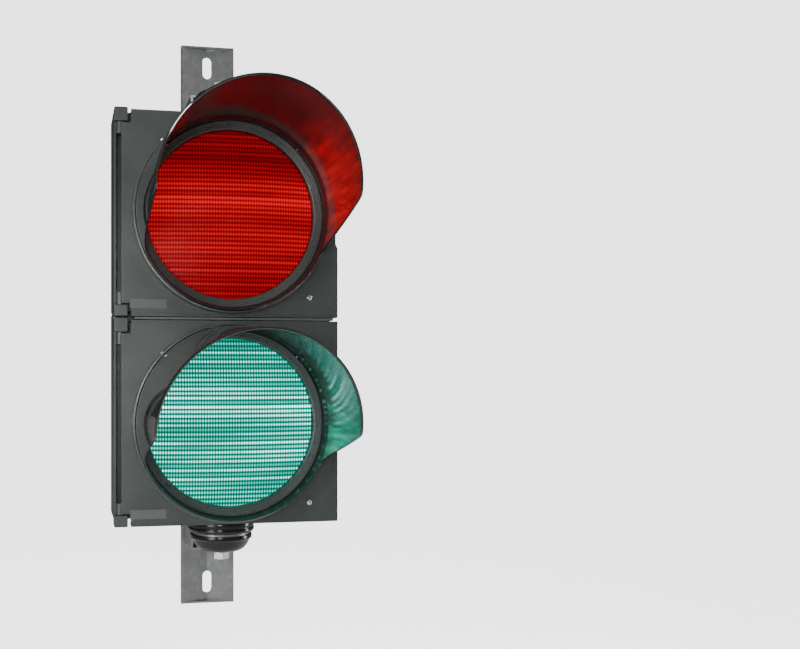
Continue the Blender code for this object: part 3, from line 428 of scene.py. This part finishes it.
def lit_lens(name, node, colours, zones, by_row, alternate, gaps):
    """Ribbed lens lit from behind: bright dashes in rows, on a coloured ground.

    colours are the stops from dark to bright; zones are (height share, level) from the foot up.
    by_row is (least, most) for how the rows differ from one another, alternate is how strong
    every second row is, and gaps is how bright the ground stays between rows and between ribs.
    """
    n = Nodes(name)
    x, z, radius = n.offsets(node)
    along = n.math("ABSOLUTE", n.math("SINE", n.math("MULTIPLY", x, math.pi / RIB_PITCH)))
    across = n.math("ABSOLUTE", n.math("SINE", n.math("MULTIPLY", z, math.pi / ROW_PITCH)))
    row_number = n.math("FLOOR", n.math("DIVIDE", z, ROW_PITCH))
    random_row = n.add("ShaderNodeTexWhiteNoise", noise_dimensions="1D")
    n.link(row_number, random_row.inputs["W"])
    streak = n.ranged(random_row.outputs["Value"], 0.0, 1.0, *by_row)
    second = n.ranged(n.math("FLOORED_MODULO", row_number, 2.0), 0.0, 1.0, alternate, 1.0)
    drift = n.ranged(n.noise(22.0, 3.0, n.stretched((0.3, 1.0, 2.2))), 0.35, 0.65, 0.88, 1.1)
    zone = n.grey_ramp(n.ranged(z, -LENS_RADIUS, LENS_RADIUS, 0.0, 1.0), zones)
    window = n.ranged(radius, LENS_RADIUS - 0.0004, LENS_RADIUS, 1.0, 0.0)
    level = n.product(streak, second, drift, zone, window)
    between_rows, between_ribs = gaps
    row = n.ranged(n.math("POWER", across, 1.4), 0.1, 1.0, between_rows, 1.0)
    rib = n.ranged(n.math("POWER", along, 1.6), 0.05, 1.0, between_ribs, 1.0)
    cell = n.product(row, rib)
    n.shine(n.ramp(n.product(cell, level), colours))
    dark, mid = colours[0][1], colours[1][1]
    ground = n.mixed(cell, tuple(c * 0.2 for c in dark), tuple(c * 0.25 for c in mid))
    n.paint(ground, n.ranged(n.noise(60.0, 3.0), 0.3, 0.7, 0.3, 0.42))
    n.shader.inputs["Specular IOR Level"].default_value = 0.06
    return n.material


HOUSING = moulded_plastic("housing_plastic", (0.020, 0.026, 0.023), (0.038, 0.047, 0.042), (0.36, 0.50))
BEZEL = moulded_plastic("bezel_plastic", (0.034, 0.041, 0.038), (0.054, 0.063, 0.059), (0.26, 0.36), 0.12)
LABEL = moulded_plastic("label_plastic", (0.056, 0.063, 0.062), (0.078, 0.087, 0.085), (0.5, 0.65), 0.7)

VISOR_BLACK = (0.009, 0.0095, 0.0095)
VISOR = gloss_plastic("visor_plastic", VISOR_BLACK, (0.04, 0.11), 0.3, 0.6)
# Painted glow, as emission, on the inside of the red visor: it stands in for the red lens's light falling
# on the visor.
RED_PAINTED_GLOW = (
    "lens_upper",
    [
        (0.0, (0.0, 0.0, 0.0)),
        (0.3, (0.03, 0.0, 0.0)),
        (0.6, (0.15, 0.0, 0.001)),
        (1.0, (0.45, 0.0, 0.004)),
    ],
    [(0.3, 0.45), (0.45, 0.8), (0.62, 0.95), (0.8, 0.72), (0.93, 0.28), (1.0, 0.12)],
    [(0.0, 0.2), (0.08, 0.85), (0.3, 1.0), (0.7, 0.8), (1.0, 0.45)],
)
RED_PAINTED_GLOW_INSIDE = gloss_plastic("visor_inside_red_painted_glow", VISOR_BLACK, (0.12, 0.24), 0.1, 0.4, RED_PAINTED_GLOW)
# Painted glow, as emission, on the inside of the green visor: it stands in for the green lens's light
# falling on the visor.
GREEN_PAINTED_GLOW = (
    "lens_lower",
    [
        (0.0, (0.0, 0.0, 0.0)),
        (0.3, (0.0, 0.014, 0.007)),
        (0.6, (0.0, 0.065, 0.034)),
        (1.0, (0.0, 0.28, 0.16)),
    ],
    [(0.3, 0.75), (0.45, 1.0), (0.58, 0.85), (0.75, 0.45), (0.93, 0.2), (1.0, 0.08)],
    [(0.0, 0.2), (0.08, 0.9), (0.3, 1.0), (0.7, 0.75), (1.0, 0.6)],
)
GREEN_PAINTED_GLOW_INSIDE = gloss_plastic("visor_inside_green_painted_glow", VISOR_BLACK, (0.12, 0.24), 0.0, 0.15, GREEN_PAINTED_GLOW)

CAP = gloss_plastic("cap_plastic", (0.006, 0.006, 0.0065), (0.16, 0.28), 0.0, 0.32)
RUBBER = rubber("seal_rubber")
STEEL = galvanised("galvanised_steel")
ZINC = zinc_plate("zinc_plate")
MODULE = moulded_plastic("module_plastic", (0.11, 0.112, 0.115), (0.16, 0.163, 0.166))
TERMINAL = moulded_plastic("terminal_plastic", (0.62, 0.61, 0.56), (0.74, 0.73, 0.68), (0.35, 0.5))
BOARD = circuit_board("board_mask")
CLEAR = clear_moulding("inner_lens_plastic")
RED = lit_lens(
    "red_lens",
    "lens_upper",
    colours=[
        (0.08, (0.04, 0.0, 0.0005)),
        (0.35, (0.24, 0.0, 0.003)),
        (0.62, (0.52, 0.0, 0.006)),
        (1.0, (1.0, 0.0, 0.01)),
    ],
    zones=[(0.0, 0.66), (0.2, 0.84), (0.45, 1.02), (0.62, 1.2), (0.72, 0.72), (0.86, 0.5), (1.0, 0.55)],
    by_row=(0.75, 1.2),
    alternate=0.92,
    gaps=(0.45, 0.55),
)
GREEN = lit_lens(
    "green_lens",
    "lens_lower",
    colours=[
        (0.1, (0.0, 0.10, 0.065)),
        (0.4, (0.0, 0.42, 0.30)),
        (0.68, (0.04, 1.2, 0.95)),
        (0.96, (3.4, 6.0, 5.6)),
    ],
    zones=[(0.0, 0.85), (0.25, 0.95), (0.5, 1.0), (0.58, 1.1), (0.7, 0.95), (0.88, 0.85), (1.0, 0.7)],
    by_row=(0.88, 1.1),
    alternate=0.82,
    gaps=(0.3, 0.3),
)

BY_SLOT = {
    "shell_plastic": HOUSING,
    "door_plastic": HOUSING,
    "rubber": RUBBER,
    "cap_black": CAP,
    "bracket_steel": STEEL,
    "zinc": ZINC,
    "inner_lens": CLEAR,
    "board": BOARD,
    "module_plastic": MODULE,
    "terminal_plastic": TERMINAL,
    "lens_red": RED,
    "lens_green": GREEN,
}


# ---------------------------------------------------------------- making pieces


def piece(name, bm, body, paint, nodes=(), smooth=SMOOTH_ANGLE):
    """Turns a bmesh into a piece that rides on a body and may stand for CAD nodes."""
    bmesh.ops.recalc_face_normals(bm, faces=bm.faces)
    mesh = bpy.data.meshes.new(name)
    bm.to_mesh(mesh)
    bm.free()
    mesh.polygons.foreach_set("use_smooth", [True] * len(mesh.polygons))
    mesh.set_sharp_from_angle(angle=smooth)
    mesh.materials.append(paint)
    obj = bpy.data.objects.new(name, mesh)
    bpy.context.scene.collection.objects.link(obj)
    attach(obj, body)
    if nodes:
        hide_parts(*nodes)
    return obj


def stand_in(node, bm, paint, smooth=SMOOTH_ANGLE):
    """A piece in place of one CAD node, on the same body, with the given material."""
    return piece(node + "_finish", bm, body_of(node), paint, (node,), smooth)


def block(size, softness, middle):
    """A box with softened edges round a point."""
    bm = bmesh.new()
    bmesh.ops.create_cube(bm, size=1.0)
    bmesh.ops.scale(bm, vec=size, verts=bm.verts)
    bmesh.ops.bevel(bm, geom=bm.edges[:], offset=softness, segments=2, affect="EDGES")
    bmesh.ops.translate(bm, vec=middle, verts=bm.verts)
    return bm


def circle(radius, steps):
    """Points (across, up) evenly round a circle."""
    angles = [2 * math.pi * i / steps for i in range(steps)]
    return [(radius * math.cos(angle), radius * math.sin(angle)) for angle in angles]


def loop_grid(rings):
    """A closed tube of faces through rings of points; the last ring meets the first."""
    bm = bmesh.new()
    rows = [[bm.verts.new(point) for point in ring] for ring in rings]
    for i, row in enumerate(rows):
        following = rows[(i + 1) % len(rows)]
        for j in range(len(row)):
            k = (j + 1) % len(row)
            bm.faces.new((row[j], row[k], following[k], following[j]))
    return bm


def lathe(profile, to_world, steps=128):
    """A solid of revolution from closed (radius, height) points; points on the axis close it."""
    bm = bmesh.new()
    columns = []
    for radius, height in profile:
        points = [(0.0, 0.0)] if radius < ON_AXIS else circle(radius, steps)
        columns.append([bm.verts.new(to_world @ Vector((x, y, height))) for x, y in points])
    for first, second in zip(columns, columns[1:] + columns[:1]):
        if len(first) == 1 and len(second) == 1:
            continue
        for i in range(steps):
            k = (i + 1) % steps
            near = [first[i % len(first)], first[k % len(first)]]
            far = [second[k % len(second)], second[i % len(second)]]
            bm.faces.new(list(dict.fromkeys(near + far)))
    return bm


def facing_front(centre):
    """Frame whose height runs forward from a point on the door face."""
    return Matrix.Translation(centre) @ Matrix.Rotation(math.pi / 2, 4, "X")


def rounded(profile, radius, count):
    """The closed profile with each corner that turns sharply replaced by an arc-like blend."""
    result = []
    for i, here in enumerate(profile):
        point = Vector(here)
        back = Vector(profile[i - 1]) - point
        ahead = Vector(profile[(i + 1) % len(profile)]) - point
        if here[0] < ON_AXIS or math.pi - back.angle(ahead) < SHARP_TURN:
            result.append(here)
            continue
        reach = min(radius, back.length * 0.45, ahead.length * 0.45)
        start = point + back.normalized() * reach
        end = point + ahead.normalized() * reach
        for step in range(count + 1):
            t = step / count
            blend = start * (1 - t) ** 2 + point * 2 * t * (1 - t) + end * t**2
            result.append(tuple(blend))
    return result


def refined(node, width, smooth):
    """A CAD node's shape with welded, softened edges and a finished material."""
    bm = bmesh.new()
    bm.from_mesh(frame["nodes"][node].data)
    bmesh.ops.remove_doubles(bm, verts=bm.verts, dist=WELD_DISTANCE)
    bmesh.ops.dissolve_limit(bm, angle_limit=FLAT_ANGLE, verts=bm.verts, edges=bm.edges)
    obj = stand_in(node, bm, BY_SLOT[SLOT_OF[node]], smooth)
    edges = obj.modifiers.new("Softened edges", "BEVEL")
    edges.width = width
    edges.segments = 2
    edges.limit_method = "ANGLE"
    edges.angle_limit = BEVEL_ANGLE
    edges.use_clamp_overlap = True
    flats = obj.modifiers.new("Even flats", "WEIGHTED_NORMAL")
    flats.keep_sharp = True


# ---------------------------------------------------------------- doors


def bezel(section):
    """Stepped ring round the lens, over the door's own ring."""
    middle = centre_of("lens_" + section)
    profile = [
        (RING_RADIUS + 0.0005, -0.0002),
        (RING_RADIUS + 0.0005, 0.0036),
        (RING_RADIUS + 0.0002, 0.0042),
        (RING_RADIUS + 0.0002, RING_DEPTH + 0.0003),
        (RING_RADIUS - 0.0044, RING_DEPTH + 0.0003),
        (RING_RADIUS - 0.0044, 0.0074),
        (0.1133, 0.0074),
        (0.1133, 0.0098),
        (0.1112, 0.0098),
        (0.1104, 0.0084),
        (0.1084, 0.0084),
        (0.1076, 0.0068),
        (0.1056, 0.0068),
        (0.1050, 0.0056),
        (0.1040, 0.0052),
        (LENS_OPENING - 0.0003, 0.0044),
        (LENS_OPENING - 0.0003, -0.0002),
    ]
    to_world = facing_front((middle.x, FACE_Y, middle.z))
    bm = lathe(rounded(profile, 0.0004, 2), to_world, 192)
    piece("bezel_" + section, bm, "door_" + section, BEZEL)


def bayonet_tabs(section):
    """Small square lugs on the ring's outer side, where the visor locks."""
    middle = centre_of("lens_" + section)
    to_world = facing_front((middle.x, FACE_Y, middle.z))
    for name, degrees in TAB_DEGREES.items():
        bm = block(TAB_SIZE, 0.0005, (RING_RADIUS + 0.0004, 0.0, TAB_FORWARD))
        bm.transform(to_world @ Matrix.Rotation(math.radians(degrees), 4, "Z"))
        piece(f"bayonet_tab_{section}_{name}", bm, "door_" + section, BEZEL)


def label_pad(section):
    """Shallow raised pad at the door's lower left, left blank."""
    right, above = LABEL_PLACE
    x = centre_of("lens_" + section).x + right
    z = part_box(f"door_{section}_panel")[0].z + above
    bm = block(LABEL_SIZE, 0.0004, (x, FACE_Y - 0.0002, z))
    piece("label_pad_" + section, bm, "door_" + section, LABEL)


def seam_rib():
    """Thin raised rib of the lower shell that shows between the two doors."""
    left, right = RIB_SPAN
    middle = ((left + right) / 2, FACE_Y + 0.0005 + RIB_DEPTH / 2, 0.0)
    bm = block((right - left, RIB_DEPTH, RIB_HEIGHT), 0.0003, middle)
    # Painted highlight: the rib is lower-shell plastic but takes the paler label plastic, so it shows as
    # a light line between the doors.
    piece("seam_rib", bm, "head", LABEL)


# ---------------------------------------------------------------- visors and lenses


def front_limit(up):
    """How far forward the visor reaches at a height above the lens axis."""
    corner_forward, corner_up = VISOR_CORNER
    if up >= corner_up:
        share = (up - corner_up) / (VISOR_FRONT_RADIUS - corner_up)
        return corner_forward + share * (VISOR_TOP_LENGTH - corner_forward)
    middle_forward, middle_up = VISOR_EDGE_MIDDLE
    end_forward, end_up = VISOR_RING_END
    if up >= middle_up:
        share = (up - corner_up) / (middle_up - corner_up)
        return corner_forward + share * (middle_forward - corner_forward)
    if up >= end_up:
        share = (up - middle_up) / (end_up - middle_up)
        return middle_forward + share * (end_forward - middle_forward)
    return end_forward


def visor_radius(forward):
    """Outer radius of the tapering visor at a distance in front of the door."""
    share = (forward - VISOR_SEAT) / (VISOR_TOP_LENGTH - VISOR_SEAT)
    return VISOR_ROOT_RADIUS + share * (VISOR_FRONT_RADIUS - VISOR_ROOT_RADIUS)


def edge_forward(angle):
    """Where the visor's wall ends, at an angle from straight up."""
    near, far = VISOR_SEAT, VISOR_TOP_LENGTH + 0.01
    for _ in range(40):
        middle = (near + far) / 2
        if middle < front_limit(visor_radius(middle) * math.cos(angle)):
            near = middle
        else:
            far = middle
    return min(near, VISOR_TOP_LENGTH)


def smoothed(values, passes):
    """Each value averaged with its two neighbours, round a closed loop."""
    for _ in range(passes):
        following = values[1:] + values[:1]
        values = [(values[i - 1] + 2 * here + following[i]) / 4 for i, here in enumerate(values)]
    return values


def visor_path(limit):
    """Outer and inner (radius, forward) points of the visor where its wall ends at limit."""
    outer = [
        (SLEEVE_INNER, SLEEVE_START),
        (SLEEVE_OUTER, SLEEVE_START),
        (SLEEVE_OUTER, VISOR_SEAT),
        (VISOR_ROOT_RADIUS + BEAD_RISE, VISOR_SEAT),
        (VISOR_ROOT_RADIUS + BEAD_RISE, BEAD_TOP),
        (VISOR_ROOT_RADIUS - 0.0002, BEAD_END),
    ]
    inner = []
    rim = limit - RIM_LENGTH
    for k in range(VISOR_ROWS + 1):
        share = k / VISOR_ROWS
        forward = WALL_START + (rim - WALL_START) * share
        outer.append((visor_radius(forward), forward))
        forward = rim + (INNER_WALL_START - rim) * share
        inner.append((visor_radius(forward) - VISOR_WALL, forward))
    tip = visor_radius(limit)
    outer += [(tip - VISOR_WALL * share, limit) for share in RIM_SHARES]
    inner.append((SLEEVE_INNER, VISOR_SEAT))
    return outer, inner


def visor(section, inside):
    """Cutaway visor with a rounded rim, a locating sleeve and a seam bead at its root."""
    middle = centre_of("lens_" + section)
    angles = [2 * math.pi * i / VISOR_STEPS for i in range(VISOR_STEPS)]
    limits = smoothed([edge_forward(angle) for angle in angles], 2)
    paths = [visor_path(limit) for limit in limits]
    columns = []
    for angle, (outer, inner) in zip(angles, paths):
        across, up = math.sin(angle), math.cos(angle)
        columns.append([(middle.x + r * across, FACE_Y - y, middle.z + r * up) for r, y in outer + inner])
    bm = loop_grid(columns)
    outer_points = len(paths[0][0])
    # Faces of the inner wall get the second material, which carries the painted lens glow.
    for i, face in enumerate(bm.faces):
        if i % len(columns[0]) >= outer_points:
            face.material_index = 1
    made = stand_in("visor_" + section, bm, VISOR, VISOR_SMOOTH_ANGLE)
    made.data.materials.append(inside)


def lens_front(x, z):
    """How far forward the lens stands beside its axis: a dome plus one pillow a crossing."""
    radius = math.hypot(x, z)
    dome = LENS_CROWN - DOME_RADIUS + math.sqrt(DOME_RADIUS**2 - radius**2)
    swell = abs(math.sin(math.pi * x / RIB_PITCH)) * 0.5 + abs(math.sin(math.pi * z / ROW_PITCH))
    fade = min(1.0, (LENS_RADIUS - radius) / PILLOW_FADE)
    return dome + PILLOW * swell * fade


def lens(section, paint):
    """Domed lens whose outer side is a field of pillows, one to each crossing of row and rib."""
    node = "lens_" + section
    middle = centre_of(node)
    low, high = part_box(node)
    flange = (high.x - low.x) / 2
    bm = bmesh.new()

    def vertex(x, forward, z):
        return bm.verts.new((middle.x + x, FACE_Y - forward, middle.z + z))

    front = vertex(0.0, lens_front(0.0, 0.0), 0.0)
    columns = []
    for i in range(1, LENS_RINGS + 1):
        ring = circle(DOME_EDGE * i / LENS_RINGS, LENS_STEPS)
        columns.append([vertex(x, lens_front(x, z), z) for x, z in ring])
    rim = ((DOME_EDGE, FLANGE_FRONT), (flange, FLANGE_FRONT), (flange, FLANGE_BACK))
    for radius, forward in rim + HOLLOW_RINGS:
        columns.append([vertex(x, forward, z) for x, z in circle(radius, LENS_STEPS)])
    back = vertex(0.0, HOLLOW_TOP, 0.0)
    for k in range(LENS_STEPS):
        following = (k + 1) % LENS_STEPS
        bm.faces.new((front, columns[0][k], columns[0][following]))
        bm.faces.new((back, columns[-1][following], columns[-1][k]))
        for first, second in zip(columns, columns[1:]):
            bm.faces.new((first[k], second[k], second[following], first[following]))
    stand_in(node, bm, paint, LENS_SMOOTH_ANGLE)


# ---------------------------------------------------------------- brackets and inside


def bracket_frame(node, way):
    """Frame on the swivel line at a CAD node's inner face, with height running away from the head."""
    low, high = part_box(node)
    if way > 0:
        return Matrix.Translation((0.0, SWIVEL_Y, low.z))
    return Matrix.Translation((0.0, SWIVEL_Y, high.z)) @ Matrix.Rotation(math.pi, 4, "X")


def swivel_cap(section, way):
    """Domed cap with a stepped foot and a flat landing for the washer."""
    node = "swivel_cap_" + section
    low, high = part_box(node)
    height = high.z - low.z
    foot = (high.x - low.x) / 2
    profile = [
        (SWIVEL_BORE, height),
        (0.0166, height),
        (0.0172, height - 0.0006),
        (0.0250, height - 0.0016),
        (0.0300, height - 0.0045),
        (0.0338, height - 0.0090),
        (0.0362, height - 0.0140),
        (0.0372, 0.0062),
        (foot - 0.0006, 0.0052),
        (foot, 0.0042),
        (foot, 0.0),
        (SWIVEL_BORE, 0.0),
    ]
    bm = lathe(rounded(profile, 0.0007, 2), bracket_frame(node, way), 96)
    stand_in(node, bm, CAP)


def swivel_collar(section, way):
    """Spacer with a groove round its flange, and a neck where it has to clear the door."""
    node = "swivel_collar_" + section
    low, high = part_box(node)
    height = high.z - low.z
    flange = (high.x - low.x) / 2
    step = max(0.0, height - COLLAR_FLANGE_HEIGHT)
    neck = [(COLLAR_NECK_RADIUS, step), (COLLAR_NECK_RADIUS, 0.0)] if step > 0.001 else []
    profile = [
        (flange - 0.0018, height),
        (flange, height - 0.0026),
        (flange, height - 0.0052),
        (flange - 0.0014, height - 0.0058),
        (flange - 0.0014, height - 0.0072),
        (flange, height - 0.0078),
        (flange, step),
        *neck,
        (SWIVEL_BORE, 0.0),
        (SWIVEL_BORE, height),
    ]
    bm = lathe(rounded(profile, 0.0006, 2), bracket_frame(node, way), 96)
    stand_in(node, bm, CAP)


def module_back(section):
    """Rear bowl of the lamp module, with ribs round it and a boss at its centre."""
    node = "module_back_" + section
    low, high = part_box(node)
    middle = centre_of(node)
    depth = FACE_Y - high.y
    front = FACE_Y - low.y
    flange = (high.x - low.x) / 2
    profile = [
        (flange, front),
        (flange, front - 0.0025),
        (0.1040, front - 0.0025),
        (0.1030, front - 0.0060),
        (0.1000, depth + 0.0068),
        (0.0930, depth + 0.0008),
        (0.0600, depth + 0.0008),
        (0.0580, depth + 0.0022),
        (0.0240, depth + 0.0022),
        (0.0220, depth + 0.0004),
        (0.0, depth + 0.0004),
        (0.0, depth + 0.0032),
        (0.0920, depth + 0.0036),
        (0.0975, depth + 0.0085),
        (0.1005, front),
    ]
    bm = lathe(rounded(profile, 0.0010, 2), facing_front((middle.x, FACE_Y, middle.z)))
    for i in range(BACK_RIBS):
        rib = bmesh.ops.create_cube(bm, size=1.0)["verts"]
        bmesh.ops.scale(bm, vec=BACK_RIB_SIZE, verts=rib)
        bmesh.ops.translate(bm, vec=(0.0, 0.0, BACK_RIB_RADIUS), verts=rib)
        turn = Matrix.Rotation(2 * math.pi * i / BACK_RIBS, 3, "Y")
        bmesh.ops.rotate(bm, cent=(0.0, 0.0, 0.0), matrix=turn, verts=rib)
        bmesh.ops.translate(bm, vec=(middle.x, high.y - 0.0013, middle.z), verts=rib)
    stand_in(node, bm, MODULE)


# ---------------------------------------------------------------- the object

# Starts of the names of the CAD nodes that are modelled anew
REMADE = ("visor_upper", "visor_lower", "lens_upper", "lens_lower", "swivel_c", "module_back")

seam_rib()
for section, way, lit, inside in (("upper", 1, RED, RED_PAINTED_GLOW_INSIDE), ("lower", -1, GREEN, GREEN_PAINTED_GLOW_INSIDE)):
    bezel(section)
    bayonet_tabs(section)
    label_pad(section)
    visor(section, inside)
    lens(section, lit)
    swivel_cap(section, way)
    swivel_collar(section, way)
    module_back(section)

for node in sorted(frame["nodes"]):
    if node.startswith(REMADE):
        continue
    width = next((w for start, w in EDGE_WIDTH.items() if node.startswith(start)), USUAL_EDGE_WIDTH)
    refined(node, width, PLATE_SMOOTH_ANGLE if node.startswith("pole_plate") else SMOOTH_ANGLE)


# ---------------------------------------------------------------- studio

# Brightness of the surround in the picture, and as a light from most sides and from behind the head
SEEN_BRIGHTNESS = 3.0
LIGHT_STRENGTH = 0.24
BEHIND_STRENGTH = 0.03
BEHIND_DIRECTION = (-0.22, 0.975, 0.0)
BEHIND_FADE = (0.4, 0.8)

FLOOR_HALF_WIDTH = 60.0
FLOOR_DROP = 0.35
FLOOR_GREY = 0.9

CAMERA_PLACE = (-0.197, FACE_Y - 1.12, -0.058)
CAMERA_AZIMUTH = math.radians(-10.0)
CAMERA_LENS = 41.8
CAMERA_SHIFT = (0.214, 0.052)

# Each light: where it is, the point it is aimed at, its width and height, and its power in watts
LIGHTS = {
    "key": ((-0.75, -0.90, 0.0), (-0.1, -0.15, 0.0), (0.35, 0.8), 10.0),
    "graze": ((1.5, -0.10, 0.05), (0.0, 0.0, 0.0), (0.2, 1.3), 20.0),
    "front": ((-0.36, -1.60, 0.02), (-0.1, -0.15, 0.0), (0.3, 0.3), 7.5),
    "front_right": ((0.78, -1.35, 0.45), (0.02, 0.0, 0.1), (0.25, 0.5), 1.2),
    "overhead": ((0.0, -0.9, 2.4), (0.0, -0.4, 0.0), (1.6, 1.2), 38.0),
}


def floor():
    """Wide pale floor, well below the lower bracket, as bright in the picture as the surround."""
    bm = bmesh.new()
    bmesh.ops.create_grid(bm, x_segments=1, y_segments=1, size=FLOOR_HALF_WIDTH)
    mesh = bpy.data.meshes.new("floor")
    bm.to_mesh(mesh)
    bm.free()
    n = Nodes("floor_pale")
    darker, paler = FLOOR_GREY - 0.02, FLOOR_GREY + 0.02
    clouds = n.mixed(n.noise(0.8, 3.0), (darker,) * 3, (paler,) * 3)
    n.link(clouds, n.shader.inputs["Base Color"])
    n.shader.inputs["Roughness"].default_value = 0.9
    n.shader.inputs["Emission Color"].default_value = (1.0, 1.0, 1.0, 1.0)
    path = n.add("ShaderNodeLightPath")
    lift = SEEN_BRIGHTNESS - FLOOR_GREY * LIGHT_STRENGTH
    lifted = n.ranged(path.outputs["Is Camera Ray"], 0.0, 1.0, 0.0, lift)
    n.link(lifted, n.shader.inputs["Emission Strength"])
    mesh.materials.append(n.material)
    obj = bpy.data.objects.new("floor", mesh)
    obj.location.z = CAD_BOX[0].z - FLOOR_DROP
    bpy.context.scene.collection.objects.link(obj)


def area_light(name, position, target, size, power):
    """A soft rectangular light aimed at a point."""
    data = bpy.data.lights.new(name, "AREA")
    data.shape = "RECTANGLE"
    data.size, data.size_y = size
    data.energy = power
    obj = bpy.data.objects.new(name, data)
    obj.location = position
    obj.rotation_euler = (Vector(target) - Vector(position)).to_track_quat("-Z", "Y").to_euler()
    bpy.context.scene.collection.objects.link(obj)


def world():
    """A pale surround, dimmer as a light straight behind the head, which keeps the visors' gloss dark."""
    made = bpy.data.worlds.new("studio")
    made.use_nodes = True
    tree = made.node_tree
    background = tree.nodes["Background"]
    background.inputs["Color"].default_value = (1.0, 1.0, 1.0, 1.0)
    place = tree.nodes.new("ShaderNodeTexCoord")
    facing = tree.nodes.new("ShaderNodeVectorMath")
    facing.operation = "DOT_PRODUCT"
    facing.inputs[1].default_value = BEHIND_DIRECTION
    tree.links.new(place.outputs["Generated"], facing.inputs[0])
    light = tree.nodes.new("ShaderNodeMapRange")
    light.interpolation_type = "SMOOTHSTEP"
    light.inputs["From Min"].default_value = BEHIND_FADE[0]
    light.inputs["From Max"].default_value = BEHIND_FADE[1]
    light.inputs["To Min"].default_value = LIGHT_STRENGTH
    light.inputs["To Max"].default_value = BEHIND_STRENGTH
    tree.links.new(facing.outputs["Value"], light.inputs["Value"])
    path = tree.nodes.new("ShaderNodeLightPath")
    strength = tree.nodes.new("ShaderNodeMapRange")
    strength.inputs["To Max"].default_value = SEEN_BRIGHTNESS
    tree.links.new(light.outputs["Result"], strength.inputs["To Min"])
    tree.links.new(path.outputs["Is Camera Ray"], strength.inputs["Value"])
    tree.links.new(strength.outputs["Result"], background.inputs["Strength"])
    bpy.context.scene.world = made


def camera():
    """Camera a little to the viewer's left and just below mid-height, framed like the photograph."""
    data = bpy.data.cameras.new("camera")
    data.sensor_width = 36.0
    data.lens = CAMERA_LENS
    data.shift_x, data.shift_y = CAMERA_SHIFT
    obj = bpy.data.objects.new("camera", data)
    obj.location = CAMERA_PLACE
    obj.rotation_euler = (math.pi / 2, 0.0, CAMERA_AZIMUTH)
    bpy.context.scene.collection.objects.link(obj)
    bpy.context.scene.camera = obj


floor()
world()
for name, (position, target, size, power) in LIGHTS.items():
    area_light(name, position, target, size, power)
camera()
